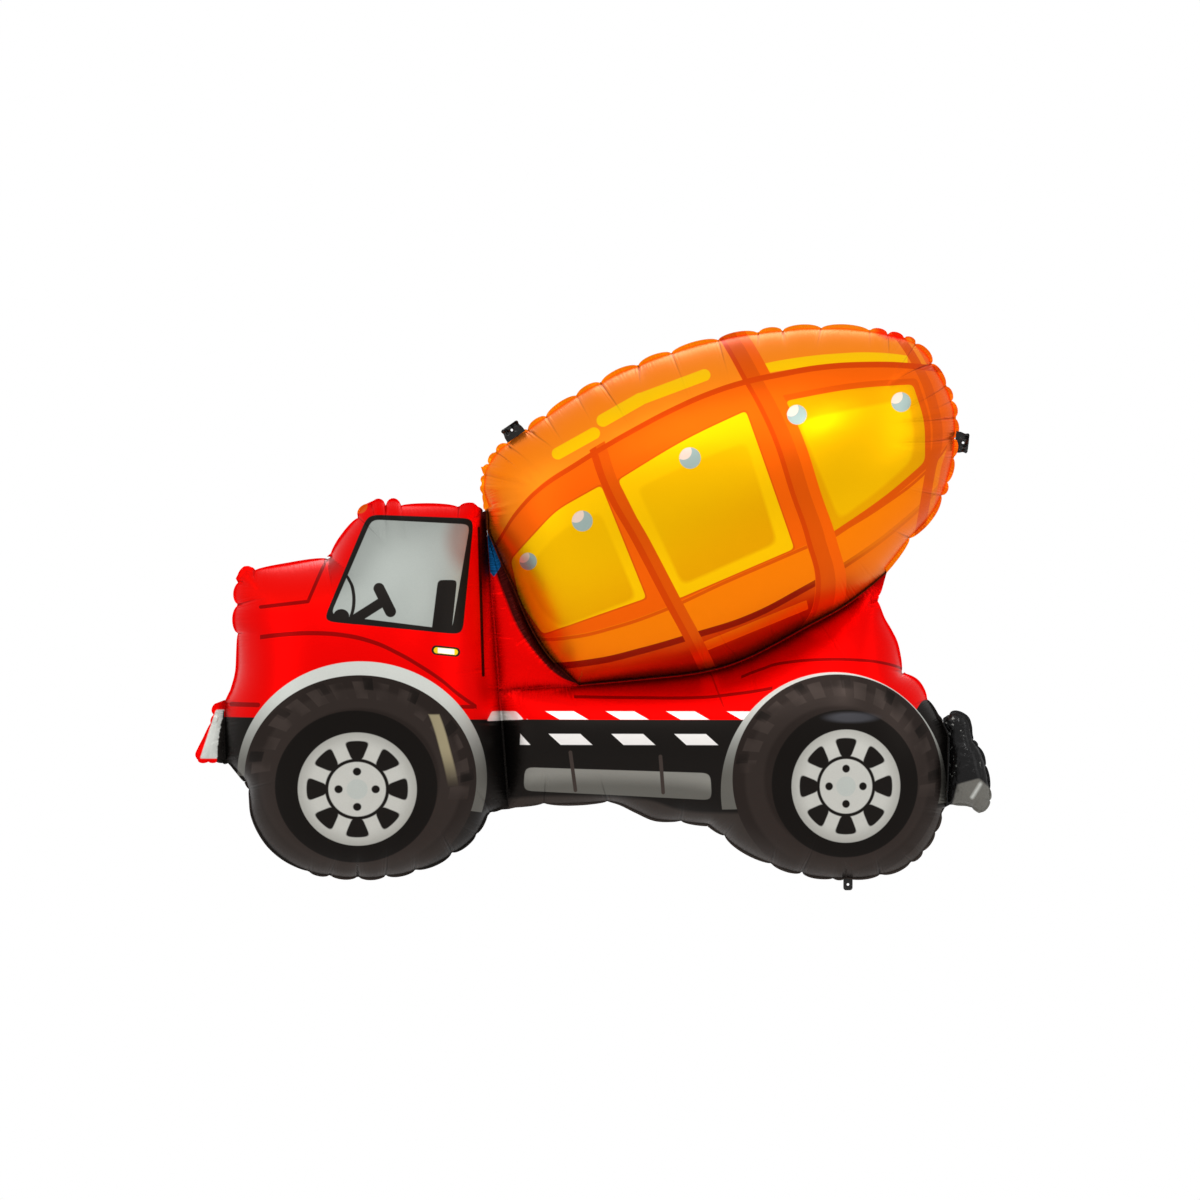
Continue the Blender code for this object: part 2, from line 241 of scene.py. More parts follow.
def connect(tree: bpy.types.NodeTree, socket: bpy.types.NodeSocket, value: object) -> None:
    """Feed a socket with a value, a colour, a vector or a number.

    Args:
        tree: the node tree.
        socket: the input to feed.
        value: what it gets.
    """
    if isinstance(value, Value):
        tree.links.new(value.socket, socket)
    elif isinstance(value, Enum):
        socket.default_value = (*value.value, 1.0)
    elif isinstance(value, tuple) and socket.type == "RGBA":
        socket.default_value = (*value, 1.0)
    else:
        socket.default_value = value


def maths(tree: bpy.types.NodeTree, operation: str, *values: Value | float, clamp: bool = False) -> Value:
    """A Math node.

    Args:
        tree: the node tree.
        operation: the node's operation.
        values: its inputs in order.
        clamp: whether the result is kept from 0 to 1.

    Returns:
        The node's result.
    """
    node = tree.nodes.new("ShaderNodeMath")
    node.operation = operation
    node.use_clamp = clamp
    for socket, value in zip(node.inputs, values):
        connect(tree, socket, value)
    return Value(tree, node.outputs[0])


class Paint:
    """The nodes of one material, with the print's drawing tools."""

    def __init__(self, name: str) -> None:
        """Args: name is the material's name."""
        self.material = bpy.data.materials.new(name)
        self.material.use_nodes = True
        self.tree = self.material.node_tree
        self.shader = self.tree.nodes["Principled BSDF"]
        self.place = self.node("ShaderNodeTexCoord", {}, {}, "Object")
        self.x = self.node("ShaderNodeSeparateXYZ", {}, {0: self.place}, "X")
        self.z = self.node("ShaderNodeSeparateXYZ", {}, {0: self.place}, "Z")
        self.flat = self.node("ShaderNodeVectorMath", {"operation": "MULTIPLY"},
                              {0: self.place, 1: (1.0, 0.0, 1.0)})
        self.colour: Value | Ink = Ink.RED
        self.foil: Value | float = 0.0

    def node(self, kind: str, settings: dict, inputs: dict, output: str | int = 0) -> Value:
        """Any node.

        Args:
            kind: the node's type.
            settings: its properties, and "points" for a Float Curve's points.
            inputs: what its sockets get, by name or number.
            output: the name or number of the output to return.

        Returns:
            The chosen output.
        """
        node = self.tree.nodes.new(kind)
        for key, setting in settings.items():
            if key == "points":
                bend(node.mapping, setting)
            else:
                setattr(node, key, setting)
        for key, value in inputs.items():
            connect(self.tree, node.inputs[key], value)
        return Value(self.tree, node.outputs[output])

    def mark(self, name: str) -> Value:
        """One of the film's own measures, which its points carry."""
        return self.node("ShaderNodeAttribute", {"attribute_name": name}, {}, "Fac")

    def noise(self, place: Value, scale: float, detail: float) -> Value:
        """Soft noise over a place, 0 to 1."""
        inputs = {"Vector": place, "Scale": scale, "Detail": detail}
        return self.node("ShaderNodeTexNoise", {}, inputs, "Fac")

    def bump(self, height: Value, strength: float = 0.6) -> Value:
        """The surface's normal over a height in metres."""
        inputs = {"Height": height, "Distance": 1.0, "Strength": strength}
        return self.node("ShaderNodeBump", {}, inputs, "Normal")

    def feed(self, inputs: dict[str, object]) -> bpy.types.Material:
        """Feed the surface's own sockets.

        Args:
            inputs: what each socket gets, by its name.

        Returns:
            The finished material.
        """
        for name, value in inputs.items():
            connect(self.tree, self.shader.inputs[name], value)
        return self.material

    def circle(self, centre: Point, radius: float) -> Value:
        """How far inside a circle the surface is."""
        apart = self.node("ShaderNodeVectorMath", {"operation": "DISTANCE"},
                          {0: self.flat, 1: (centre[0], 0.0, centre[1])}, "Value")
        return radius - apart

    def ellipse(self, centre: Point, across: float, up: float) -> Value:
        """How far inside an ellipse the surface is, near its edge.

        Args:
            centre: its (x, z) middle.
            across, up: its half width and half height.

        Returns:
            The signed distance, above 0 inside.
        """
        unit = self.node("ShaderNodeVectorMath", {"operation": "MULTIPLY_ADD"},
                         {0: self.flat, 1: (1 / across, 0.0, 1 / up),
                          2: (-centre[0] / across, 0.0, -centre[1] / up)})
        size = self.node("ShaderNodeVectorMath", {"operation": "LENGTH"}, {0: unit}, "Value")
        return (1.0 - size) * math.sqrt(across * up)

    def half(self, start: Point, end: Point) -> Value:
        """How far the surface is to the left of the line from start to end.

        Args:
            start, end: two (x, z) places on the line.

        Returns:
            The signed distance, above 0 on the left.
        """
        along = Vector((end[0] - start[0], end[1] - start[1])).normalized()
        normal = (-along.y, 0.0, along.x)
        reach = normal[0] * start[0] + normal[2] * start[1]
        return self.node("ShaderNodeVectorMath", {"operation": "DOT_PRODUCT"},
                         {0: self.flat, 1: normal}, "Value") - reach

    def polygon(self, corners: Sequence[Point], rounding: float) -> Value:
        """How far inside a convex outline the surface is.

        Args:
            corners: its (x, z) corners, anticlockwise.
            rounding: the radius that its corners are eased by.

        Returns:
            The signed distance, above 0 inside.
        """
        inside = self.half(corners[-1], corners[0])
        for start, end in zip(corners, corners[1:]):
            inside = inside.math("SMOOTH_MIN", self.half(start, end), rounding)
        return inside

    def stroke(self, start: Point, end: Point, radius: float) -> Value:
        """How far inside a straight stroke with round ends the surface is.

        Args:
            start, end: the (x, z) places that the stroke joins.
            radius: half its width.

        Returns:
            The signed distance, above 0 inside.
        """
        run = Vector((end[0] - start[0], 0.0, end[1] - start[1]))
        apart = self.node("ShaderNodeVectorMath", {"operation": "SUBTRACT"},
                          {0: self.flat, 1: (start[0], 0.0, start[1])})
        along = self.node("ShaderNodeVectorMath", {"operation": "DOT_PRODUCT"},
                          {0: apart, 1: tuple(run / run.length_squared)}, "Value")
        along = along.math("MULTIPLY", 1.0, clamp=True)
        reached = self.node("ShaderNodeVectorMath", {"operation": "SCALE"},
                            {0: tuple(run), "Scale": along})
        return radius - self.node("ShaderNodeVectorMath", {"operation": "DISTANCE"},
                                  {0: apart, 1: reached}, "Value")

    def above(self, points: Sequence[Point]) -> Value:
        """How far the surface is above a curve that runs along X through points."""
        return self._beyond(points, self.x, self.z)

    def right_of(self, points: Sequence[Point]) -> Value:
        """How far the surface is to the +X side of a curve that runs up through points."""
        return self._beyond([(z, x) for x, z in points], self.z, self.x)

    def _beyond(self, points: Sequence[Point], along: Value, up: Value) -> Value:
        """How far up is above a curve over along.

        Args:
            points: (along, up) places on the curve, in rising order of along.
            along: the value that the curve runs over.
            up: the value that is compared with it.

        Returns:
            The distance, square to the curve's mean direction.
        """
        low, high = points[0][0], points[-1][0]
        floor, roof = min(p[1] for p in points), max(p[1] for p in points)
        floor, roof = floor - 0.001, roof + 0.001
        share = (along - low) / (high - low)
        unit = [((p[0] - low) / (high - low), (p[1] - floor) / (roof - floor)) for p in points]
        height = self.node("ShaderNodeFloatCurve", {"points": unit}, {"Value": share})
        slope = (points[-1][1] - points[0][1]) / (high - low)
        return (up - floor - height * (roof - floor)) * (1 / math.hypot(1, slope))

    def inside(self, value: Value, low: float, high: float) -> Value:
        """How far a value is from the nearer end of a range, above 0 inside it."""
        return (high - low) / 2 - abs(value - (low + high) / 2)

    def print(self, mask: Value, ink: Value | Ink, foil: float | None = None) -> None:
        """Lay an ink over what is printed so far.

        Args:
            mask: where the ink goes.
            ink: its colour.
            foil: how much of the bare metal shows through, if that changes.
        """
        self.colour = self.node("ShaderNodeMix", {"data_type": "RGBA"},
                                {0: mask, 6: self.colour, 7: ink}, 2)
        if foil is not None:
            self.foil = self.node("ShaderNodeMix", {"data_type": "FLOAT"},
                                  {0: mask, 2: self.foil, 3: foil}, 0)

    def blend(self, low: Ink, high: Ink, share: Value) -> Value:
        """A colour between two inks."""
        return self.node("ShaderNodeMix", {"data_type": "RGBA"}, {0: share, 6: low, 7: high}, 2)


def bend(mapping: bpy.types.CurveMapping, points: Sequence[Point]) -> None:
    """Set a Float Curve's points.

    Args:
        mapping: the node's mapping.
        points: its points, from 0 to 1 each way.
    """
    line = mapping.curves[0]
    line.points[0].location = points[0]
    line.points[-1].location = points[-1]
    for point in points[1:-1]:
        line.points.new(*point)
    mapping.update()


class SeamLine:
    """The closed line on which a chamber's two panels meet, run anticlockwise."""

    # The points' spacing, how far the curvature is averaged, and how near the seam its rim faces lie.
    STEP = 0.0020
    BEND_REACH = 0.024
    RIM_HEIGHT = 0.0015

    def __init__(self, node: str, sharp: float) -> None:
        """Args: node is the CAD panel whose rim is the seam, and sharp the least turn of a corner."""
        self.sharp = sharp
        corners = self._rim(frame["nodes"][node])
        self.points = self._smoothed(corners)
        after = np.roll(self.points, -1, axis=0) - self.points
        self.steps = np.linalg.norm(after, axis=1)
        self.length = float(self.steps.sum())
        self.runs = np.concatenate([[0.0], np.cumsum(self.steps)[:-1]])
        self.welded = np.zeros(len(self.points), bool)
        bent = np.roll(after, 1, axis=0)
        cross = bent[:, 0] * after[:, 1] - bent[:, 1] * after[:, 0]
        turn = np.arctan2(cross, np.sum(bent * after, axis=1))
        self.curvature = self._averaged(turn / self.steps, self.BEND_REACH)

    @staticmethod
    def _rim(node: bpy.types.Object) -> np.ndarray:
        """The seam's corner points as (x, z), from the panel's narrow rim faces.

        Args:
            node: the CAD panel.

        Returns:
            The points in order, anticlockwise from the lowest one.
        """
        shape = bmesh.new()
        shape.from_mesh(node.data)
        bmesh.ops.remove_doubles(shape, verts=shape.verts, dist=1e-5)
        shape.normal_update()
        rim = {f for f in shape.faces
               if abs(f.normal.y) < 0.1 and all(abs(v.co.y) < SeamLine.RIM_HEIGHT for v in f.verts)}
        edges = [e for e in shape.edges
                 if len(rim.intersection(e.link_faces)) == 1
                 and all(abs(v.co.y) < SeamLine.RIM_HEIGHT / 4 for v in e.verts)]
        beside: dict = {}
        for edge in edges:
            first, last = edge.verts
            beside.setdefault(first, []).append(last)
            beside.setdefault(last, []).append(first)
        walk = [edges[0].verts[0], edges[0].verts[1]]
        while len(walk) < len(beside):
            walk.append(next(v for v in beside[walk[-1]] if v is not walk[-2]))
        line = np.array([(v.co.x, v.co.z) for v in walk])
        shape.free()
        after = np.roll(line, -1, axis=0)
        area = np.sum(line[:, 0] * after[:, 1] - after[:, 0] * line[:, 1])
        line = line if area > 0 else line[::-1]
        return np.roll(line, -int(np.argmin(line[:, 1])), axis=0)

    def _smoothed(self, corners: np.ndarray) -> np.ndarray:
        """The corners joined by smooth curves that break only where the line turns sharply.

        Args:
            corners: the seam's corner points in order.

        Returns:
            Points along the whole seam, about STEP apart.
        """
        count = len(corners)
        ahead = np.roll(corners, -1, axis=0) - corners
        behind = np.roll(ahead, 1, axis=0)
        cross = behind[:, 0] * ahead[:, 1] - behind[:, 1] * ahead[:, 0]
        sharp = np.abs(np.arctan2(cross, np.sum(behind * ahead, axis=1))) > self.sharp
        self.corners = corners[sharp]
        line = []
        for i in range(count):
            start, end = corners[i], corners[(i + 1) % count]
            before = 2 * start - end if sharp[i] else corners[i - 1]
            after = 2 * end - start if sharp[(i + 1) % count] else corners[(i + 2) % count]
            size = float(np.linalg.norm(end - start))
            leave = (end - before) / np.linalg.norm(end - before) * size
            arrive = (after - start) / np.linalg.norm(after - start) * size
            pieces = max(1, round(size / self.STEP))
            for t in np.arange(pieces) / pieces:
                line.append(start * (2 * t ** 3 - 3 * t ** 2 + 1) + leave * (t ** 3 - 2 * t ** 2 + t)
                            + end * (3 * t ** 2 - 2 * t ** 3) + arrive * (t ** 3 - t ** 2))
        return np.array(line)

    def _averaged(self, values: np.ndarray, reach: float) -> np.ndarray:
        """Values round the loop averaged over reach each way."""
        half = max(1, round(reach / self.STEP))
        return sum(np.roll(values, i) for i in range(-half, half + 1)) / (2 * half + 1)

    def mark_welds(self, others: "list[SeamLine]", reach: float = 0.003) -> None:
        """Mark the points where this chamber is welded to another one.

        Args:
            others: the other chambers' seams.
            reach: how near they are on a shared weld.
        """
        for other in others:
            gap = np.linalg.norm(self.points[:, None] - other.points[None], axis=2).min(axis=1)
            self.welded |= gap < reach

    def weld_share(self, run: np.ndarray) -> np.ndarray:
        """1 at the runs where this chamber is welded to another one, and 0 elsewhere."""
        return self.at(self.welded.astype(float), run)

    def nearest(self, places: np.ndarray) -> tuple[np.ndarray, np.ndarray, np.ndarray]:
        """The nearest places on the seam.

        Args:
            places: (x, z) places, one a row.

        Returns:
            The distances, the nearest points and their runs along the seam.
        """
        away, close, run = [], [], []
        after = np.roll(self.points, -1, axis=0)
        for block in np.array_split(places, max(1, len(places) // 4000)):
            near = np.argmin(((block[:, None] - self.points[None]) ** 2).sum(axis=2), axis=1)
            best = np.full(len(block), np.inf)
            point, along_run = np.zeros_like(block), np.zeros(len(block))
            for first in (near, (near - 1) % len(self.points)):
                start, step = self.points[first], after[first] - self.points[first]
                t = np.clip(np.sum((block - start) * step, axis=1) / np.sum(step ** 2, axis=1), 0, 1)
                foot = start + t[:, None] * step
                gap = np.linalg.norm(block - foot, axis=1)
                nearer = gap < best
                best[nearer], point[nearer] = gap[nearer], foot[nearer]
                along_run[nearer] = (self.runs[first] + t * self.steps[first])[nearer]
            away.append(best)
            close.append(point)
            run.append(along_run)
        return np.concatenate(away), np.concatenate(close), np.concatenate(run)

    def holds(self, places: np.ndarray) -> np.ndarray:
        """True for each place inside the seam.

        Args:
            places: (x, z) places, one a row.

        Returns:
            One truth value for each place.
        """
        inside = np.zeros(len(places), bool)
        for (x0, z0), (x1, z1) in zip(self.points, np.roll(self.points, -1, axis=0)):
            if z0 != z1:
                crosses = (places[:, 1] < z0) != (places[:, 1] < z1)
                inside ^= crosses & (places[:, 0] < x0 + (places[:, 1] - z0) * (x1 - x0) / (z1 - z0))
        return inside

    def at(self, values: np.ndarray, run: np.ndarray) -> np.ndarray:
        """Values that are known at the seam's points, read at other runs."""
        return np.interp(run, np.append(self.runs, self.length), np.append(values, values[0]))


@dataclass
class PuckerStyle:
    """How the film gathers along a chamber's seam.

    pitch is the lobes' usual length on a seam that bends with the radius round,
    and the other sizes are how deep the folds and notches are and how far they run.
    """

    pitch: float = 0.034
    round: float = 0.20
    shortest: float = 0.014
    longest: float = 0.060
    fold: float = 0.0068
    reach: float = 0.022
    notch: float = 0.0042
    lean: float = 0.0024
    weld_pitch: float = 0.055
    weld_fold: float = 0.0022
    seed: int = 1


class Puckers:
    """The folds that run in from a seam, and the lobes between them."""

    def __init__(self, seam: SeamLine, style: PuckerStyle, placed: Sequence[Point] = (),
                 ears: Sequence[tuple[Point, float]] = ()) -> None:
        """Lay the folds round the seam.

        Args:
            seam: the chamber's seam.
            style: the folds' sizes.
            placed: (x, z) places where a fold always starts.
            ears: (x, z) places on lobes that bulge out, and how far they do.
        """
        self.seam, self.style = seam, style
        random = np.random.default_rng(style.seed)
        fixed = []
        if len(placed):
            fixed = sorted(seam.nearest(np.array(placed))[2])
        runs, run = [], 0.0
        while run < seam.length - style.shortest / 2:
            runs.append(run)
            bend = float(seam.at(seam.curvature, np.array([run]))[0])
            welded = seam.weld_share(np.array([run]))[0] > 0.5
            pitch = style.weld_pitch if welded else style.pitch * 1.6 / (0.6 + max(bend, 0) * style.round)
            pitch = min(max(pitch, style.shortest), style.longest)
            run += pitch * random.uniform(0.65, 1.35)
        guard = 0.6 * style.shortest
        first, last = (fixed[0], fixed[-1]) if fixed else (1.0, 0.0)
        runs = [r for r in runs if not first - guard < r < last + guard]
        self.runs = np.array(sorted([*runs, *fixed]))
        count = len(self.runs)
        self.strength = random.uniform(0.45, 1.0, count) ** 1.2
        self.reach = style.reach * random.uniform(0.5, 1.7, count) * (0.5 + 0.5 * self.strength)
        self.slant = random.uniform(-0.35, 0.35, count)
        self.lean = style.lean * random.uniform(0.4, 1.0, count) * np.where(np.arange(count) % 2, 1, -1)
        gaps = np.diff(np.append(self.runs, self.runs[0] + seam.length))
        self.span = np.minimum(gaps, np.roll(gaps, 1))
        self.gaps = gaps
        self.strength *= np.clip(self.span / 0.030, 0.25, 1.0)
        self.bulge = np.zeros(count)
        for place, height in ears:
            run = seam.nearest(np.array([place]))[2][0]
            self.bulge[(np.searchsorted(self.runs, run) - 1) % count] = height

    def read(self, run: np.ndarray, depth: np.ndarray) -> dict[str, np.ndarray]:
        """What the puckers do at places on the panel.

        Args:
            run: how far along the seam each place is.
            depth: how far in from the weld margin it is.

        Returns:
            The fold's, the notch's and the pinch's depth (0 to about 1), the seam's lean and
            bulge, and how far aside the nearest crease is and how strong.
        """
        count = len(self.runs)
        ahead = np.searchsorted(self.runs, run) % count
        fold = np.zeros(len(run))
        crease, power = np.full(len(run), 1.0), np.zeros(len(run))
        for which in (ahead, (ahead - 1) % count):
            aside = ((run - self.runs[which] + self.seam.length / 2) % self.seam.length
                     - self.seam.length / 2 - self.slant[which] * depth)
            width = 0.08 * self.span[which] + 0.12 * depth
            away = self.strength[which] * np.exp(-((depth / self.reach[which]) ** 2))
            fold += away * np.exp(-np.abs(aside) / width)
            nearer = np.abs(aside) < np.abs(crease)
            crease, power = np.where(nearer, aside, crease), np.where(nearer, away, power)
        before = (ahead - 1) % count
        share = np.clip(((run - self.runs[before]) % self.seam.length) / self.gaps[before], 0, 1)
        near = self.strength[np.where(share < 0.5, before, ahead)]
        pinch = 1 - np.sqrt(np.clip(1 - (2 * share - 1) ** 2, 0, 1))
        crest = np.sin(math.pi * share)
        return {"fold": fold, "notch": near * pinch, "pinch": pinch, "lean": self.lean[before] * crest,
                "bulge": self.bulge[before] * crest ** 0.4, "crease": crease, "power": power}


class Membrane:
    """The height of a film held at its rim and pressed out evenly, on a panel's mesh."""

    def __init__(self, places: np.ndarray, triangles: np.ndarray, held: np.ndarray) -> None:
        """Args: places are (x, z), triangles index them, and held marks the rim."""
        self.count = len(places)
        self.free = ~held
        load = np.zeros(self.count)
        starts, ends, weights = [], [], []
        for turn in range(3):
            a, b, c = (triangles[:, (turn + i) % 3] for i in range(3))
            u, v = places[a] - places[c], places[b] - places[c]
            area = np.abs(u[:, 0] * v[:, 1] - u[:, 1] * v[:, 0]) / 2 + 1e-12
            weights.append(np.sum(u * v, axis=1) / (4 * area))
            starts.append(a)
            ends.append(b)
            load += np.bincount(a, area / 3, self.count)
        self.load = load * self.free
        self.starts, self.ends = np.concatenate(starts), np.concatenate(ends)
        self.weights = np.concatenate(weights)

    def pull(self, height: np.ndarray) -> np.ndarray:
        """The film's tension on each point at a given height."""
        flow = self.weights * (height[self.starts] - height[self.ends])
        force = np.bincount(self.starts, flow, self.count) - np.bincount(self.ends, flow, self.count)
        return force * self.free

    def rise(self, rounds: int = 900, close: float = 1e-5) -> np.ndarray:
        """Solve for the height by conjugate gradients.

        Args:
            rounds: the most steps taken.
            close: the share of the load at which it stops.

        Returns:
            The height of each point, 0 on the rim.
        """
        height = np.zeros(self.count)
        left = self.load.copy()
        way = left.copy()
        size = left @ left
        goal = size * close ** 2
        for _ in range(rounds):
            force = self.pull(way)
            step = size / (way @ force)
            height += step * way
            left -= step * force
            last, size = size, left @ left
            if size < goal:
                break
            way = left + size / last * way
        return np.maximum(height, 0)


@dataclass(frozen=True)
class Finish:
    """How a film shines and crumples."""

    metal: float = 0.82
    rough: float = 0.27
    coat: float = 0.24
    gloss: float = 0.0
    crumple: float = 0.0
    gathered: float = 0.022


def thicken(shape: bmesh.types.BMesh, film: float) -> None:
    """Make a sheet into a closed film, with its new side film away along the sheet's normals.

    Args:
        shape: the sheet, which becomes the film.
        film: the film's thickness.
    """
    shape.normal_update()
    sheet, faces = shape.verts[:], shape.faces[:]
    rim = [e.link_loops[0] for e in shape.edges if e.is_boundary]
    rim = [(loop.vert, loop.link_loop_next.vert) for loop in rim]
    twins = bmesh.ops.duplicate(shape, geom=faces)["vert_map"]
    for vert in sheet:
        twins[vert].co = vert.co + vert.normal * film
    bmesh.ops.reverse_faces(shape, faces=faces)
    for first, last in rim:
        shape.faces.new((twins[last], twins[first], first, last))


@dataclass
class Chamber:
    """One gas chamber: two film panels on one seam.

    Attributes:
        name: the chamber's name, which its CAD panels' names start with.
        body: the body that it moves with.
        slot: the record's slot of its film; not used.
        margin: the width of the flat weld margin.
        fullness, rounding: the crown, and how gently the film leaves the seam.
        pitch: the size of the panel's grid.
        film, ply_gap: the film's thickness, and how far apart the plies lie in the margin.
        style: how the seam puckers.
        folds: (x, z) places on the seam where a fold always starts.
        ears: places on lobes that bulge out, and how far they do.
        corner_reach: how far the margin stretches into a sharp corner.
        lap: how far a corner reaches past the seam, over the gap to the next chamber.
        sharp: the least turn at which the seam has a corner.
        finish: how the film shines.
        folds_on: the body across the weld that the chamber folds on, if it folds.
    """

    # The share of the margin that a shared weld takes away, and the distances over which folds deepen,
    # lobes draw in, the seam leans, the painted shade and the gathers next to welds fade and gaps between
    # chambers are bridged.
    WELD_TRIM = 0.7
    TAPER = 0.003
    LOBE_REACH = 0.012
    LEAN_REACH = 0.014
    WELD_REACH = 0.0045
    SHARED_GAP = 0.008

    name: str
    body: str
    slot: str
    margin: float = 0.004
    fullness: float = 0.86
    rounding: float = 0.026
    pitch: float = 0.0022
    film: float = 0.00025
    ply_gap: float = 0.0003
    style: PuckerStyle = field(default_factory=PuckerStyle)
    folds: tuple[Point, ...] = ()
    ears: tuple[tuple[Point, float], ...] = ()
    corner_reach: float = 0.045
    lap: float = 0.0022
    sharp: float = math.radians(24)
    finish: Finish = Finish()
    folds_on: str | None = None

    def __post_init__(self) -> None:
        """Read the seam from the chamber's own CAD panel."""
        self.seam = SeamLine(f"{self.name}_front_film", self.sharp)

    def margin_at(self, run: np.ndarray) -> np.ndarray:
        """The margin's width along the seam, which is narrow at a shared weld."""
        return self.margin * (1 - self.WELD_TRIM * self.seam.weld_share(run))

    def sheet(self) -> bmesh.types.BMesh:
        """A flat grid cut to the inner edge of the weld margin."""
        low, high = self.seam.points.min(axis=0), self.seam.points.max(axis=0)
        size, middle = high - low, (high + low) / 2
        across, up = (int(v / self.pitch) + 1 for v in size)
        shape = bmesh.new()
        place = (Matrix.Translation((middle[0], 0, middle[1])) @ Matrix.Rotation(math.pi / 2, 4, "X")
                 @ Matrix.Diagonal((size[0], size[1], 1, 1)))
        bmesh.ops.create_grid(shape, x_segments=across, y_segments=up, size=0.5, matrix=place)
        places = self.places(shape)
        gap, _, run = self.seam.nearest(places)
        outside = ~self.seam.holds(places) | (gap < self.margin_at(run) + 0.4 * self.pitch)
        bmesh.ops.delete(shape, geom=[v for v, out in zip(shape.verts[:], outside) if out], context="VERTS")
        loose = [v for v in shape.verts if not v.link_faces]
        bmesh.ops.delete(shape, geom=loose, context="VERTS")
        self.keep_largest(shape)
        rim = [v for v in shape.verts if v.is_boundary]
        places = np.array([(v.co.x, v.co.z) for v in rim])
        gap, foot, run = self.seam.nearest(places)
        target = foot + (places - foot) * (self.margin_at(run) / gap)[:, None]
        for vert, (x, z) in zip(rim, target):
            vert.co.x, vert.co.z = x, z
        bmesh.ops.remove_doubles(shape, verts=rim, dist=0.3 * self.pitch)
        self.keep_largest(shape)
        inner = [v for v in shape.verts if not v.is_boundary]
        for _ in range(4):
            bmesh.ops.smooth_vert(shape, verts=inner, factor=0.5, use_axis_x=True, use_axis_z=True)
        return shape

    @staticmethod
    def keep_largest(shape: bmesh.types.BMesh) -> None:
        """Delete every patch of faces but the largest; patches join along edges.

        Args:
            shape: the mesh to clean.
        """
        left, best = set(shape.faces), set()
        while left:
            patch, todo = set(), [left.pop()]
            while todo:
                face = todo.pop()
                patch.add(face)
                beside = {other for edge in face.edges for other in edge.link_faces} & left
                left -= beside
                todo += beside
            best = max(best, patch, key=len)
        bmesh.ops.delete(shape, geom=[f for f in shape.faces if f not in best], context="FACES")

    @staticmethod
    def places(shape: bmesh.types.BMesh) -> np.ndarray:
        """The (x, z) places of a shape's points."""
        return np.array([(v.co.x, v.co.z) for v in shape.verts])

    def swell(self, shape: bmesh.types.BMesh) -> None:
        """Work out the flat panel's crown and puckers once, for both sides.

        Args:
            shape: the flat panel from sheet().
        """
        shape.verts.index_update()
        self.flat = self.places(shape)
        triangles = np.array([[corner.vert.index for corner in corners]
                              for corners in shape.calc_loop_triangles()])
        held = np.array([v.is_boundary for v in shape.verts])
        rise = Membrane(self.flat, triangles, held).rise()
        gap, self.foot, self.run = self.seam.nearest(self.flat)
        self.depth = np.maximum(gap - self.margin_at(self.run), 0)
        self.depth[held] = 0
        self.inward = (self.flat - self.foot) / np.maximum(gap, 1e-9)[:, None]
        self.crown = self.fullness * (np.sqrt(self.rounding ** 2 + 2 * rise) - self.rounding)
        free_seam = 1 - self.seam.weld_share(self.run)
        pucker = self.puckers.read(self.run, self.depth)
        fold, notch, lean = pucker["fold"], pucker["notch"], pucker["lean"]
        near = self.depth / (self.depth + self.TAPER)
        deep = self.style.weld_fold + (self.style.fold - self.style.weld_fold) * free_seam
        self.crown = np.where(held, 0, np.maximum(self.crown - deep * fold * near, 0.12 * self.crown))
        drawn = self.style.notch * notch - pucker["bulge"]
        self.drawn_in = drawn * free_seam * np.exp(-self.depth / self.LOBE_REACH)
        self.lean = lean * free_seam * np.exp(-self.depth / self.LEAN_REACH)
        self.free_seam, self.pinch = free_seam, pucker["pinch"]
        power = pucker["power"] * (0.4 + 0.6 * free_seam)
        weld_near = (1 - free_seam) * np.exp(-self.depth / self.WELD_REACH)
        crease = pucker["crease"]
        self.marks = (self.run, self.depth, crease, np.abs(crease), power, weld_near)

    def panel(self, sheet: bmesh.types.BMesh, side: Side) -> bpy.types.Object:
        """One swollen panel with its weld margin.

        Args:
            sheet: the flat panel.
            side: the side that it swells to.

        Returns:
            The finished object.
        """
        shape = sheet.copy()
        layers = [shape.verts.layers.float.new(name) for name in MARKS]
        marks = np.array(self.marks).T
        moved = self.flat + self.inward * self.drawn_in[:, None]
        height = self.lean + side.value * (self.ply_gap / 2 + self.crown)
        for vert, (x, z), y, values in zip(shape.verts, moved, height, marks.tolist()):
            vert.co = (x, y, z)
            for layer, value in zip(layers, values):
                vert[layer] = value
        self.add_margin(shape)
        if side is Side.BACK:
            bmesh.ops.reverse_faces(shape, faces=shape.faces[:])
        thicken(shape, self.film)
        return add_piece(f"{self.name}_{side.name.lower()}_foil", shape)

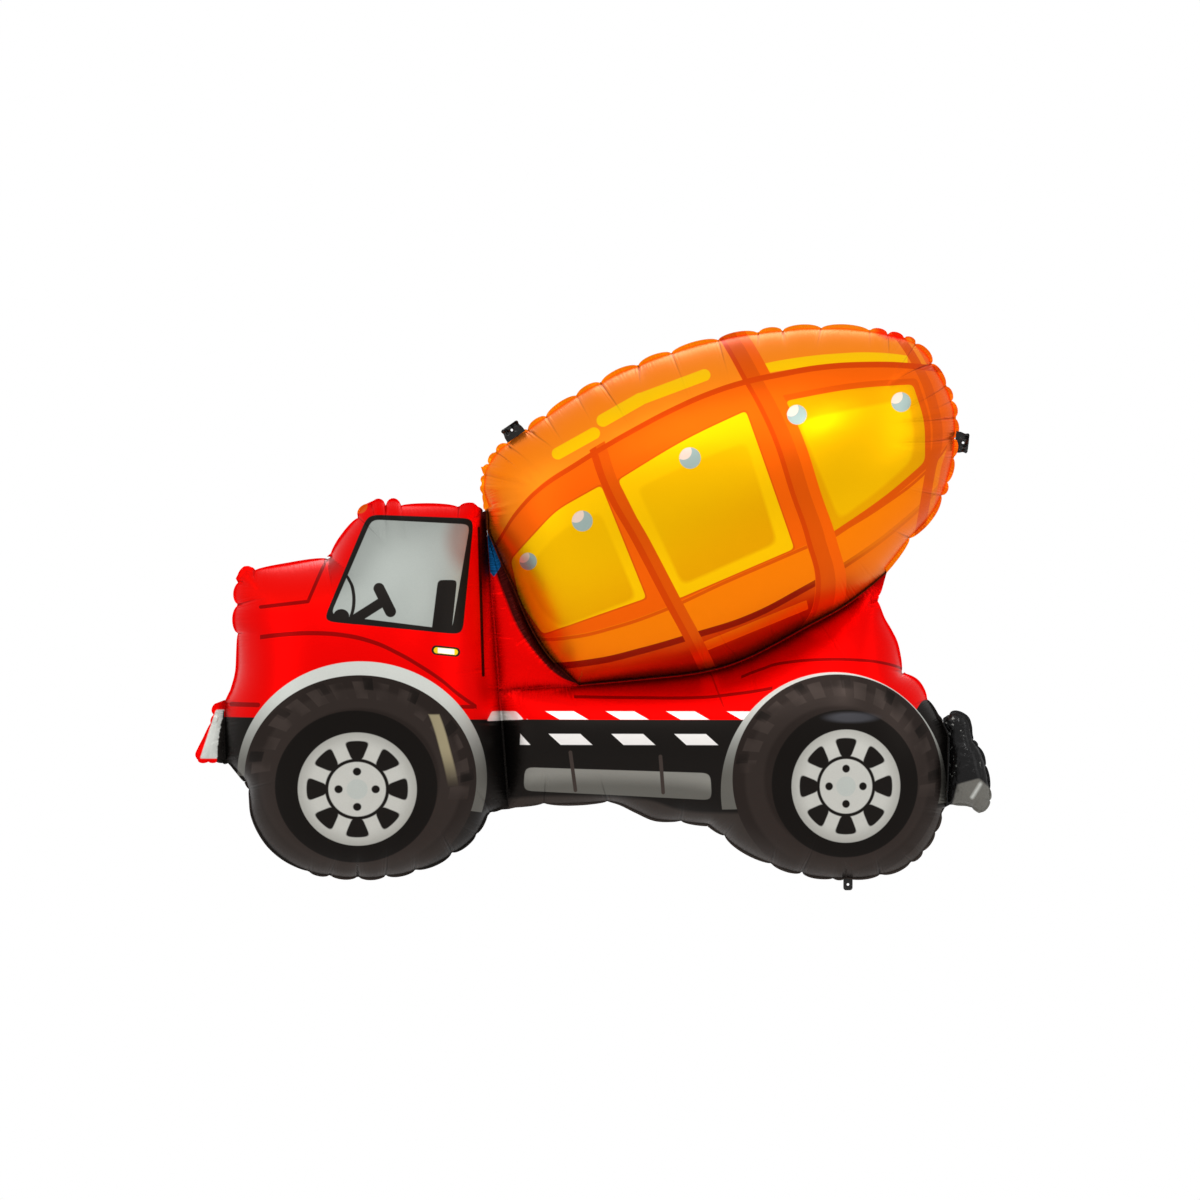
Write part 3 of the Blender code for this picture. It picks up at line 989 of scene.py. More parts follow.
    def add_margin(self, shape: bmesh.types.BMesh) -> None:
        """Extrude the rim into the flat weld margin, wide in the lobes and narrow at the folds.

        Args:
            shape: the swollen panel.
        """
        depth_layer = shape.verts.layers.float["seam_depth"]
        shape.verts.ensure_lookup_table()
        rim = [e for e in shape.edges if e.is_boundary]
        inner = {v for e in rim for v in e.verts}
        grown = bmesh.ops.extrude_edge_only(shape, edges=rim)["geom"]
        outer = [v for v in grown if isinstance(v, bmesh.types.BMVert)]
        places = {tuple(round(c, 7) for c in v.co): v.index for v in inner}
        for vert in outer:
            i = places[tuple(round(c, 7) for c in vert.co)]
            trim = 0.85 * self.pinch[i] * self.free_seam[i]
            foot = self.foot[i] + self.inward[i] * (self.drawn_in[i] + trim * self.margin)
            foot = foot + self.reach_over(self.foot[i])
            vert.co.x, vert.co.z = foot
            vert[depth_layer] = -self.margin
        for corner in self.seam.corners:
            close = min(outer, key=lambda v: (v.co.x - corner[0]) ** 2 + (v.co.z - corner[1]) ** 2)
            if math.hypot(close.co.x - corner[0], close.co.z - corner[1]) < self.corner_reach:
                near = np.linalg.norm(self.seam.points - corner, axis=1) < self.SHARED_GAP
                out = corner - self.seam.points[near].mean(axis=0)
                close.co.x, close.co.z = corner + out / np.linalg.norm(out) * self.lap

    def reach_over(self, place: np.ndarray) -> np.ndarray:
        """The way from a place on a weld to just past the middle of the gap to the next chamber.

        Args:
            place: an (x, z) place on the seam.

        Returns:
            The (x, z) step, 0 where no other chamber is near.
        """
        gaps = self.weld_points - place
        sizes = np.linalg.norm(gaps, axis=1)
        nearest = int(np.argmin(sizes))
        near = np.clip((self.SHARED_GAP - sizes[nearest]) / self.TAPER, 0, 1)
        return 0.55 * near * gaps[nearest]

    def build(self, others: "list[SeamLine]") -> list[bpy.types.Object]:
        """Build and dress both panels.

        Args:
            others: the other chambers' seams.

        Returns:
            The two pieces.
        """
        self.seam.mark_welds(others)
        self.weld_points = np.concatenate([other.points for other in others])
        self.puckers = Puckers(self.seam, self.style, self.folds, self.ears)
        sheet = self.sheet()
        self.swell(sheet)
        film = self.dress()
        pieces = []
        for side in Side:
            piece = self.panel(sheet, side)
            piece.data.materials.append(film)
            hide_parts(f"{self.name}_{side.name.lower()}_film")
            self.fasten(piece)
            pieces.append(piece)
            LOG.info("%s: %d faces", piece.name, len(piece.data.polygons))
        sheet.free()
        return pieces

    def fasten(self, piece: bpy.types.Object) -> None:
        """Let a panel ride on the chamber's body, bent over the weld that the chamber folds on.

        Args:
            piece: the panel.
        """
        if self.folds_on is None:
            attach(piece, self.body)
            return
        fold = joint_named(f"{self.name}_fold")
        pin, along = Vector(fold["pos_m"]), Vector(fold["axis"]).normalized()
        middle = self.seam.points.mean(axis=0)
        out = Vector((middle[0], 0, middle[1])) - pin
        out = (out - along * out.dot(along)).normalized()
        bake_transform(piece, self.folds_on, self.body, tuple(pin), tuple(pin + out * 2 * self.margin))

    def dress(self) -> bpy.types.Material:
        """The chamber's printed film."""
        paint = Paint(f"{self.name}_print")
        self.draw(paint)
        return finish_film(paint, self.finish)

    def draw(self, paint: Paint) -> None:
        """Draw the chamber's print."""


def finish_film(paint: Paint, finish: Finish) -> bpy.types.Material:
    """Give a print the gloss, the grain, the creases and the fine gathers of metallised film, and paint shade
    into its creases and next to its welds.

    Args:
        paint: the material with its print laid down.
        finish: how the film shines.

    Returns:
        The finished material.
    """
    run, depth, aside, gap, power, weld = (paint.mark(name) for name in MARKS)
    grain = paint.noise(paint.place, 900.0, 3.0)
    cloud = paint.noise(paint.place, 14.0, 3.0)
    blister = paint.noise(paint.place, 75.0, 2.0)
    drawn = paint.node("ShaderNodeCombineXYZ", {}, {"X": run * 420.0, "Y": depth * 38.0})
    gather = paint.noise(drawn, 1.0, 2.0)
    near = depth.fade(finish.gathered, 0.0)
    line = gap.fade(0.0045, 0.0030) * power.math("MINIMUM", 1.0)
    valley = (abs(aside) * (1 / 0.0022)).math("MINIMUM", 1.0)
    # Crease lines and the film next to welds are painted darker: painted shade.
    dark = line * abs(aside).fade(0.0015, 0.0003) * power.fade(0.05, 0.45) * 0.55
    painted_weld_shade = weld * (gather * 0.6 + 0.25)
    speckle_and_painted_shade = ((grain - 0.5) * 0.16 * paint.foil + 1.0) * (1.0 - (dark | painted_weld_shade))
    grey = paint.node("ShaderNodeCombineColor", {}, {"Red": speckle_and_painted_shade, "Green": speckle_and_painted_shade, "Blue": speckle_and_painted_shade})
    shade = paint.node("ShaderNodeMix", {"data_type": "RGBA", "blend_type": "MULTIPLY"},
                       {0: 1.0, 6: paint.colour, 7: grey}, 2)
    height = (gather * near * (weld * 1.5 + 1.0) * 0.0014 + cloud * 0.0010 + grain * 0.000012
              + valley * line * 0.0012 + blister * finish.crumple)
    facing = paint.node("ShaderNodeLayerWeight", {}, {"Blend": 0.5}, "Facing")
    return paint.feed({
        "Base Color": shade,
        "Metallic": paint.foil * 0.15 + finish.metal,
        "Roughness": paint.foil * 0.20 + cloud * 0.10 + finish.rough,
        "Coat Weight": facing.fade(0.55, 1.0) * finish.coat + finish.gloss,
        "Normal": paint.bump(height),
        "Specular IOR Level": 0.1,
        "Coat Roughness": 0.16,
    })


@dataclass
class Wheel:
    """A printed wheel: tyre, treads, side wall and slotted rim.

    Attributes:
        hub: the rim's (x, z) centre.
        rim: the rim's half width and half height.
        wall: the side wall's centre and half sizes.
        tyre: the tyre's centre and half sizes.
        guard: the mudguard's centre and half sizes.
        ends: two places on the line below which the mudguard stops.
        slots, treads: how many slots the rim has, and tread blocks the tyre.
    """

    hub: Point
    rim: Point
    wall: tuple[Point, Point]
    tyre: tuple[Point, Point]
    guard: tuple[Point, Point]
    ends: tuple[Point, Point]
    slots: int = 8
    treads: int = 26

    def draw(self, paint: Paint) -> None:
        """Print the wheel, from the mudguard inwards, with painted shade on the mudguard's lower part and a
        painted floor reflection on the tyre's bottom rim.

        Args:
            paint: the material.
        """
        (middle, size), (tyre_middle, tyre_size) = self.guard, self.tyre
        tyre = paint.ellipse(tyre_middle, *tyre_size)
        guard = paint.ellipse(middle, *size) & paint.half(*self.ends)
        # The mudguard is painted lighter at the top and darker below: painted shade.
        light = paint.z.fade(tyre_middle[1], tyre_middle[1] + 0.9 * tyre_size[1])
        paint.print(guard.mask(), paint.blend(Ink.SHADED_SILVER, Ink.SILVER, light), 0.8)
        paint.print(tyre.mask(), Ink.TYRE, 0.1)
        self.draw_treads(paint, tyre)
        # The tyre's bottom rim near the seam is painted lighter grey: a painted reflection of the floor.
        low = paint.z.fade(tyre_middle[1], tyre_middle[1] - 0.6 * tyre_size[1])
        paint.print(paint.mark("seam_depth").fade(0.034, 0.006) * low * 0.6 * tyre.mask(0.02), Ink.LOW_BLACK)
        paint.print(paint.ellipse(self.wall[0], *self.wall[1]).mask(0.0012), Ink.SIDEWALL)
        self.draw_rim(paint)

    def draw_treads(self, paint: Paint, tyre: Value) -> None:
        """Print the tread blocks round the tyre's upper edge.

        Args:
            paint: the material.
            tyre: how far inside the tyre the surface is.
        """
        (cx, cz), (rx, _) = self.tyre
        angle = maths(paint.tree, "ARCTAN2", paint.z - cz, paint.x - cx)
        band = paint.inside(tyre, 0.055 * rx, 0.21 * rx)
        step = 2 * math.pi / self.treads
        lean = angle + tyre * 2.2
        block = paint.inside(lean % step, 0.30 * step, 0.88 * step) * (0.85 * rx)
        groove = paint.inside(lean % (2 * step), 0.0, 0.42 * step) * (0.85 * rx)
        upper = angle.math("SUBTRACT", -0.25).mask(0.3) * (paint.z - (cz - 0.15 * rx)).mask(0.02)
        worn = paint.noise(paint.place, 34.0, 1.0).fade(0.36, 0.62)
        lining = paint.inside(tyre, 0.12 * rx, 0.30 * rx)
        paint.print(lining.mask(0.004) * 0.35, Ink.TREAD)
        paint.print((band & block).mask(0.0012) * upper * worn * 0.8, Ink.TREAD)
        outer = paint.inside(tyre, 0.02 * rx, 0.13 * rx)
        paint.print((outer & groove).mask(0.0012) * upper * (1.0 - worn * 0.7) * 0.8, Ink.SIDEWALL)

    def draw_rim(self, paint: Paint) -> None:
        """Print the rim with its slots, hub ring and lug holes.

        Args:
            paint: the material.
        """
        (cx, cz), (rx, rz) = self.hub, self.rim
        u = (paint.x - cx) * (1 / rx)
        v = (paint.z - cz) * (1 / rz)
        size = (u * u + v * v).math("SQRT")
        angle = maths(paint.tree, "ARCTAN2", v, u)
        soft = 0.018
        paint.print((1.0 - size).mask(soft), Ink.RIM, 0.85)
        paint.print((1.0 - size).mask(soft) * size.fade(0.72, 1.04) * 0.5, Ink.MID_SILVER)
        turn = 2 * math.pi / self.slots
        local = (angle + turn / 2) % turn - turn / 2
        out = size * local.math("COSINE")
        aside = abs(size * local.math("SINE"))
        flank = (0.098 + (out - 0.54) * 0.40 - aside) * 0.9
        slot = flank.math("SMOOTH_MIN", 0.855 - size, 0.12).math("SMOOTH_MIN", out - 0.51, 0.10)
        paint.print(slot.mask(soft), Ink.BLACK, 0.1)
        paint.print(paint.inside(size, 0.483, 0.541).mask(soft), Ink.BLACK)
        paint.print((0.178 - size).mask(soft), Ink.HUB)
        quarter = math.pi / 2
        near = (angle + quarter / 2) % quarter - quarter / 2
        away = size * near.math("COSINE") - 0.312
        beside = size * near.math("SINE")
        hole = 0.070 - (away * away + beside * beside).math("SQRT")
        paint.print(hole.mask(soft), Ink.BLACK)


def print_stripe_blob(paint: Paint) -> None:
    """Print the first upper stripe, which crosses the weld behind the cab."""
    blob = paint.polygon([(-0.4079, 0.1847), (-0.3661, 0.1866), (-0.3751, 0.1960), (-0.4023, 0.1960)],
                         0.0034)
    paint.print(blob.mask(), Ink.WHITE, 0.3)


class Cab(Chamber):
    """The cab with the hood, the window and the front wheel."""

    WHEEL = Wheel(
        hub=(-0.5533, 0.1087), rim=(0.0669, 0.0638), wall=((-0.5548, 0.1113), (0.0915, 0.0859)),
        tyre=((-0.5505, 0.1198), (0.1311, 0.1172)), guard=((-0.5489, 0.1203), (0.1412, 0.1322)),
        ends=((-0.6915, 0.1237), (-0.4068, 0.0808)),
    )

    def draw(self, paint: Paint) -> None:
        """Print the painted highlight on the hood, the body lines, the wheel, the window and the handle.

        Args:
            paint: the material.
        """
        # The top of the hood is painted lighter red round this ellipse: a painted highlight.
        glow = paint.ellipse((-0.6362, 0.3384), 0.0791, 0.0294).fade(-0.0113, 0.0271)
        paint.colour = paint.blend(Ink.RED, Ink.LIGHT_RED, glow * 0.5)
        lamp = paint.circle((-0.5520, 0.4282), 0.0090)
        paint.print(lamp.mask(0.001), Ink.BURNT_ORANGE)
        self.draw_lines(paint)
        self.draw_window(paint)
        self.draw_handle(paint)
        low = -paint.above([(-0.7435, 0.1898), (-0.6814, 0.1893), (-0.4271, 0.1870), (-0.3706, 0.1864)])
        paint.print(low.mask(), Ink.BLACK, 0.1)
        print_stripe_blob(paint)
        self.WHEEL.draw(paint)
        shine = paint.right_of([(-0.4441, 0.1045), (-0.4486, 0.1294), (-0.4542, 0.1520), (-0.4610, 0.1768),
                                (-0.4678, 0.1949)])
        cut = paint.inside(paint.z, 0.1113, 0.1927)
        paint.print((0.0056 - abs(shine) & cut).mask(0.002) * paint.z.fade(0.1068, 0.1576) * 0.85, Ink.CREAM)

    def draw_lines(self, paint: Paint) -> None:
        """Print the dark body lines of the hood, the wing and the cab's rear, and the painted shade in the
        cab's top rear corner.

        Args:
            paint: the material.
        """
        hood = (paint.stroke((-0.6627, 0.3136), (-0.6096, 0.3197), 0.0020)
                | paint.stroke((-0.6090, 0.3197), (-0.5893, 0.3667), 0.0019))
        wing = paint.above([(-0.6621, 0.2797), (-0.6305, 0.2831), (-0.6023, 0.2842), (-0.5684, 0.2819),
                            (-0.5367, 0.2746), (-0.5073, 0.2616), (-0.4836, 0.2480), (-0.4599, 0.2322),
                            (-0.4395, 0.2153), (-0.4169, 0.1994)])
        wing = (0.0023 - abs(wing)) & paint.inside(paint.x, -0.6633, -0.4192)
        foot = paint.stroke((-0.4633, 0.2017), (-0.4226, 0.2011), 0.0021)
        rear = paint.stroke((-0.4169, 0.4028), (-0.4118, 0.2367), 0.0016)
        sill = paint.stroke((-0.6960, 0.2040), (-0.6655, 0.2033), 0.0026)
        paint.print((hood | wing | foot | sill).mask(), Ink.DARK_RED)
        # The cab's top rear corner next to the drum's nose is painted maroon: painted shade between the cab
        # and the drum.
        painted_gap_shade = paint.x.fade(-0.4192, -0.4136) * paint.z.fade(0.3169, 0.3667)
        paint.print(painted_gap_shade, Ink.MAROON)
        paint.print(rear.mask(), Ink.MAROON)

    def draw_window(self, paint: Paint) -> None:
        """Print the side window with what shows through it and a painted pink reflection on its right side.

        Args:
            paint: the material.
        """
        surround = paint.polygon([(-0.5915, 0.2977), (-0.4350, 0.2825), (-0.4226, 0.4136),
                                  (-0.5424, 0.4181)], 0.0169)
        paint.print(surround.mask(), Ink.BLACK, 0.1)
        glass = paint.polygon([(-0.5831, 0.3051), (-0.4469, 0.2881), (-0.4271, 0.4068), (-0.5379, 0.4124)],
                              0.0124)
        # The window's right side is tinted pink-grey round this ellipse: a painted reflection.
        painted_glass_reflection = paint.ellipse((-0.4271, 0.3893), 0.0362, 0.0475).fade(0, 0.0249)
        tone = paint.blend(Ink.GLASS, Ink.FLUSHED_GLASS, painted_glass_reflection * 0.7)
        paint.print(glass.mask(), tone, 0.75)
        quarter = paint.right_of([(-0.5605, 0.3023), (-0.5571, 0.3181), (-0.5582, 0.3328),
                                  (-0.5627, 0.3441), (-0.5684, 0.3520)])
        quarter = (0.0019 - abs(quarter)) & paint.inside(paint.z, 0.3023, 0.3508)
        dash = paint.ellipse((-0.5712, 0.3034), 0.0090, 0.0079)
        wheel = (paint.stroke((-0.5288, 0.3345), (-0.5158, 0.3085), 0.0063)
                 | paint.stroke((-0.5254, 0.3192), (-0.5627, 0.2955), 0.0056))
        seat = paint.polygon([(-0.4701, 0.2831), (-0.4475, 0.2831), (-0.4412, 0.3441), (-0.4627, 0.3441)],
                             0.0079)
        inside = (quarter | dash | wheel | seat) & surround
        paint.print(inside.mask(), Ink.BLACK, 0.1)

    def draw_handle(self, paint: Paint) -> None:
        """Print the door handle.

        Args:
            paint: the material.
        """
        paint.print(paint.stroke((-0.4644, 0.2652), (-0.4429, 0.2629), 0.0053).mask(), Ink.BLACK)
        paint.print(paint.stroke((-0.4638, 0.2650), (-0.4435, 0.2629), 0.0034).mask(), Ink.YELLOW_END)
        grip = paint.polygon([(-0.4626, 0.2620), (-0.4441, 0.2601), (-0.4441, 0.2659), (-0.4626, 0.2679)],
                             0.0006)
        paint.print(grip.mask(), Ink.WHITE)


def print_drum_shadow(paint: Paint) -> None:
    """Print the painted shadow along the drum's nose and the blue tank between the cab and the drum.

    Args:
        paint: the material.
    """
    edge = paint.right_of([(-0.3006, 0.2277), (-0.3220, 0.2379), (-0.3424, 0.2582), (-0.3650, 0.2898),
                           (-0.3831, 0.3328), (-0.3966, 0.3689), (-0.4079, 0.4062), (-0.4181, 0.4458)])
    # The maroon band along the drum's nose is painted shadow.
    shade = paint.inside(edge, -0.0068, 0.0102) & paint.z - 0.2266
    paint.print(shade.mask(0.003), Ink.MAROON)
    tank = paint.polygon([(-0.4056, 0.3542), (-0.4000, 0.3475), (-0.3921, 0.3599), (-0.3944, 0.3712),
                          (-0.4079, 0.3994), (-0.4113, 0.3938)], 0.0023)
    paint.print(tank.mask(), Ink.BLUE, 0.3)


@dataclass(frozen=True)
class StripeRow:
    """A row of slanted warning stripes.

    Attributes:
        start: where one stripe begins at the row's top.
        top, foot: the row's upper and lower edge.
        pitch, width: how far apart the stripes are and how wide.
        slant: how far they lean for each metre down.
    """

    start: float
    top: float
    foot: float
    pitch: float
    width: float
    slant: float

    def shape(self, paint: Paint) -> Value:
        """How far inside the row's stripes the surface is."""
        along = (paint.x - self.start + (paint.z - self.top) * self.slant) % self.pitch
        return paint.inside(along, 0, self.width) & paint.inside(paint.z, self.foot, self.top)


class Chassis(Chamber):
    """The chassis with the deck, the side rail and the rear wheel."""

    WHEEL = Wheel(
        hub=(-0.0034, 0.1119), rim=(0.0612, 0.0637), wall=((-0.0045, 0.1147), (0.0825, 0.0834)),
        tyre=((-0.0130, 0.1203), (0.1181, 0.1175)), guard=((-0.0164, 0.1068), (0.1277, 0.1333)),
        ends=((-0.1446, 0.0853), (0.1130, 0.0921)),
    )
    UPPER_ROW = StripeRow(start=-0.3420, top=0.1960, foot=0.1868, pitch=0.0682, width=0.0323, slant=1.74)
    LOWER_ROW = StripeRow(start=-0.3383, top=0.1706, foot=0.1582, pitch=0.0708, width=0.0359, slant=1.1)

    def draw(self, paint: Paint) -> None:
        """Print the deck lines, the painted shadow along the drum, the black frame, the stripes, the rail,
        the wheel and a painted highlight on the rear tyre.

        Args:
            paint: the material.
        """
        deck = paint.above([(-0.3141, 0.2124), (-0.2350, 0.2113), (-0.1763, 0.2113), (-0.1311, 0.2153),
                            (-0.0825, 0.2232)])
        deck = (0.0017 - abs(deck)) & paint.inside(paint.x, -0.3096, -0.0859)
        arch = paint.above([(-0.1220, 0.2340), (-0.0975, 0.2437), (-0.0731, 0.2506), (-0.0241, 0.2546),
                            (0.0150, 0.2536), (0.0347, 0.2513), (0.0655, 0.2415)])
        arch = (0.0016 - abs(arch)) & paint.inside(paint.x, -0.1209, 0.0655)
        panel = paint.stroke((-0.1548, 0.2379), (-0.1412, 0.2017), 0.0010)
        paint.print((deck | arch).mask(), Ink.DARK_RED)
        paint.print(panel.mask() * 0.6, Ink.DARK_RED)
        print_drum_shadow(paint)
        frame_top = -paint.above([(-0.4271, 0.1868), (-0.2802, 0.1866), (-0.0994, 0.1866), (0.0588, 0.1866),
                                  (0.0870, 0.2085), (0.1266, 0.2107)])
        paint.print(frame_top.mask(), Ink.BLACK, 0.1)
        print_stripe_blob(paint)
        self.draw_stripes(paint)
        self.draw_rail(paint)
        self.WHEEL.draw(paint)
        # A soft grey arc on the rear tyre's upper dark ring is a painted highlight.
        painted_tyre_highlight = paint.ellipse((0.0023, 0.1893), 0.0384, 0.0079).fade(0, 0.0102)
        paint.print(painted_tyre_highlight * 0.45, Ink.SHEEN)

    def draw_stripes(self, paint: Paint) -> None:
        """Print the two rows of slanted warning stripes.

        Args:
            paint: the material.
        """
        rows = self.UPPER_ROW.shape(paint) | self.LOWER_ROW.shape(paint)
        clear = paint.x + 0.3627 & -0.1028 - paint.x
        paint.print((rows & clear).mask(), Ink.WHITE, 0.3)
        corner = paint.polygon([(-0.3706, 0.1581), (-0.3588, 0.1581), (-0.3701, 0.1705)], 0.0006)
        paint.print(corner.mask(), Ink.WHITE, 0.3)

    def draw_rail(self, paint: Paint) -> None:
        """Print the side rail with painted shade, its two straps and the lighter skirt below it.

        Args:
            paint: the material.
        """
        skirt = -paint.above([(-0.3932, 0.0955), (-0.3254, 0.1000), (-0.2350, 0.0966), (-0.1672, 0.0819),
                              (-0.0994, 0.0819)])
        paint.print(skirt.mask(0.004) * 0.9, Ink.LOW_BLACK)
        rail = paint.polygon([(-0.3667, 0.1062), (-0.1542, 0.0960), (-0.1559, 0.1266), (-0.3650, 0.1328)],
                             0.0136)
        # The rail is painted lighter towards its top and darker towards its bottom: painted shade.
        light = paint.above([(-0.3706, 0.1034), (-0.2802, 0.1079), (-0.1503, 0.0966)]).fade(0.0023, 0.0215)
        paint.print(rail.mask(), paint.blend(Ink.SHADED_SILVER, Ink.MID_SILVER, light), 0.7)
        straps = (paint.stroke((-0.3136, 0.1497), (-0.3079, 0.1068), 0.0021)
                  | paint.stroke((-0.2121, 0.1452), (-0.2090, 0.1045), 0.0021))
        paint.print(straps.mask(), Ink.TREAD, 0.1)


class Gusset(Chamber):
    """The small red chamber between the cab, the drum and the deck."""

    def draw(self, paint: Paint) -> None:
        """Print the drum's shadow along the drum's nose."""
        print_drum_shadow(paint)


class Drum(Chamber):
    """The mixing drum."""

    RIVETS = (((-0.3611, 0.3650), 0.0097), ((-0.3001, 0.4102), 0.0116), ((-0.1792, 0.4808), 0.0120),
              ((-0.0590, 0.5296), 0.0111), ((0.0588, 0.5443), 0.0111))

    def draw(self, paint: Paint) -> None:
        """Print the drum from its shading up to its rivets.

        Args:
            paint: the material.
        """
        paint.colour = Ink.ORANGE
        upper = paint.above([(-0.4090, 0.3667), (-0.3944, 0.3881), (-0.3740, 0.4192), (-0.3446, 0.4486),
                             (-0.3078, 0.4727), (-0.2784, 0.4910), (-0.2418, 0.5119), (-0.1977, 0.5350),
                             (-0.1537, 0.5542), (-0.1164, 0.5661), (-0.0802, 0.5740), (-0.0322, 0.5825),
                             (0.0192, 0.5859), (0.0723, 0.5847), (0.1322, 0.5768)])
        self.draw_bands(paint, upper)
        ribs = self.ribs(paint)
        self.draw_panels(paint)
        low = 0.0068 - upper
        for middle, half, ink in ribs[:2]:
            paint.print((half - abs(middle) & low).mask(), ink)
        for middle, half, ink in ribs[2:]:
            paint.print((half - abs(middle)).mask(), ink)
        paint.print((0.0031 - abs(upper - 0.0006)).mask(), Ink.DEEP_ORANGE)
        self.draw_rivets(paint)
        paint.print(paint.ellipse((0.0542, 0.6288), 0.0294, 0.0169).fade(0, 0.0090) * 0.85, Ink.LIGHT_RED)
        # The drum's edge along its welds is painted maroon: a painted shadow.
        paint.print(paint.mark("weld_near").fade(0.5, 0.95) * 0.9, Ink.MAROON)
        paint.foil = 0.12

    def draw_bands(self, paint: Paint, upper: Value) -> None:
        """Print the long bands above and below the panels, with a painted highlight above the upper line and
        painted shade below the lower line.

        Args:
            paint: the material.
            upper: how far the surface is above the upper line.
        """
        # Just above the upper line the drum is painted lighter orange: a painted highlight.
        glow = upper.fade(0.0701, 0.0203)
        paint.print(glow * 0.6, Ink.LIGHT_ORANGE)
        paint.print((-upper).mask(), Ink.RED_ORANGE)
        streaks = (paint.stroke((-0.3277, 0.4864), (-0.2870, 0.5090), 0.0068)
                   | paint.stroke((-0.2768, 0.5237), (-0.2350, 0.5475), 0.0073)
                   | paint.stroke((-0.2350, 0.5475), (-0.1627, 0.5746), 0.0068))
        cap = (-paint.above([(-0.1107, 0.5836), (-0.0542, 0.5949), (-0.0090, 0.5994), (0.0249, 0.6006),
                             (0.0723, 0.5960)])
               & paint.above([(-0.1107, 0.5723), (-0.0542, 0.5825), (-0.0090, 0.5859), (0.0249, 0.5864),
                              (0.0723, 0.5853)])
               & paint.inside(paint.x, -0.0983, 0.0667))
        paint.print((streaks | cap).mask(), Ink.BRIGHT_YELLOW)
        sill = paint.above([(-0.3932, 0.2898), (-0.3537, 0.2802), (-0.3119, 0.2819), (-0.2633, 0.2932),
                            (-0.2124, 0.3107), (-0.1390, 0.3441), (-0.0621, 0.3774), (-0.0215, 0.3955),
                            (0.0407, 0.4322), (0.0893, 0.4706), (0.1209, 0.5136)])
        paint.print((-sill).mask(), Ink.ORANGE)
        paint.print((0.0018 - abs(sill + 0.0023)).mask(), Ink.BURNT_ORANGE)
        lower = paint.above([(-0.4045, 0.2537), (-0.3503, 0.2469), (-0.2859, 0.2520), (-0.2350, 0.2638),
                             (-0.1763, 0.2808), (-0.1164, 0.3000), (-0.0542, 0.3316), (0.0011, 0.3644),
                             (0.0565, 0.4051), (0.0972, 0.4435), (0.1322, 0.4910)])
        # Below the lower line the drum is painted deeper orange and then darker towards its bottom, most at
        # its left end: painted shade.
        left = paint.x.fade(0.0418, -0.0655)
        paint.print((-lower).mask() * (left * 0.8 + 0.2), Ink.DEEP_ORANGE)
        paint.print((-lower - 0.0068).fade(0, 0.0181) * 0.75 * left, Ink.SHADE_ORANGE)
        paint.print((0.0034 - abs(lower)).mask() * (left * 0.8 + 0.2), Ink.SHADE_ORANGE)
        ledge = paint.polygon([(-0.1638, 0.2627), (-0.0452, 0.3113), (-0.0475, 0.3215), (-0.1672, 0.2729)],
                              0.0023)
        paint.print(ledge.mask() * 0.8, Ink.ORANGE)

    def ribs(self, paint: Paint) -> list[tuple[Value, float, Ink]]:
        """The ribs' centre lines, half widths and inks.

        Args:
            paint: the material.

        Returns:
            The centre line, the half width and the ink of each rib, in the order that they are printed.
        """
        first = paint.right_of([(-0.1537, 0.2311), (-0.1757, 0.2763), (-0.1977, 0.3169), (-0.2339, 0.3859),
                                (-0.2701, 0.4525), (-0.2870, 0.5023), (-0.3051, 0.5497)])
        second = paint.right_of([(-0.0373, 0.2932), (-0.0237, 0.3328), (-0.0350, 0.3881), (-0.0531, 0.4412),
                                 (-0.0712, 0.4977), (-0.0881, 0.5362), (-0.1040, 0.5655), (-0.1277, 0.6096),
                                 (-0.1424, 0.6322)])
        third = paint.right_of([(0.0870, 0.4345), (0.0927, 0.4684), (0.1006, 0.5045), (0.0938, 0.5475),
                                (0.0780, 0.5859), (0.0565, 0.6209), (0.0452, 0.6379)])
        return [(first - 0.0011, 0.0090, Ink.BURNT_ORANGE), (first + 0.0045, 0.0038, Ink.DEEP_ORANGE),
                (second - 0.0034, 0.0169, Ink.RED_ORANGE), (second + 0.0023, 0.0107, Ink.BURNT_ORANGE),
                (second + 0.0102, 0.0027, Ink.DEEP_ORANGE), (third, 0.0056, Ink.BURNT_ORANGE),
                (third - 0.0305, 0.0192, Ink.RED_ORANGE)]

    def draw_panels(self, paint: Paint) -> None:
        """Print the three yellow panels.

        Args:
            paint: the material.
        """
        left = [(-0.3446, 0.2831), (-0.2282, 0.3237), (-0.2791, 0.4503), (-0.3299, 0.4220),
                (-0.3808, 0.3667), (-0.3706, 0.3192)]
        left_core = [(-0.3254, 0.2898), (-0.2395, 0.3237), (-0.2802, 0.4209), (-0.3254, 0.4006),
                     (-0.3661, 0.3531), (-0.3548, 0.3192)]
        middle = [(-0.1932, 0.3226), (-0.0621, 0.3791), (-0.1164, 0.5339), (-0.1853, 0.5023),
                  (-0.2599, 0.4559)]
        middle_core = [(-0.1876, 0.3384), (-0.0814, 0.3859), (-0.1164, 0.4989), (-0.1785, 0.4774),
                       (-0.2384, 0.4469)]
        right = [(-0.0215, 0.3960), (0.0429, 0.4390), (0.0859, 0.4774), (0.0859, 0.5226), (0.0723, 0.5644),
                 (0.0023, 0.5599), (-0.0712, 0.5452)]
        right_core = [(-0.0113, 0.4119), (0.0407, 0.4480), (0.0723, 0.4797), (0.0746, 0.5226),
                      (0.0655, 0.5475), (0.0023, 0.5384), (-0.0576, 0.5226)]
        self.draw_panel(paint, left, left_core, 0.0017, Ink.BRIGHT_YELLOW, 0.0)
        self.draw_panel(paint, middle, middle_core, 0.0017, Ink.BRIGHT_YELLOW, 0.0)
        self.draw_panel(paint, right, right_core, 0.0068, Ink.DEEP_YELLOW, 0.9)

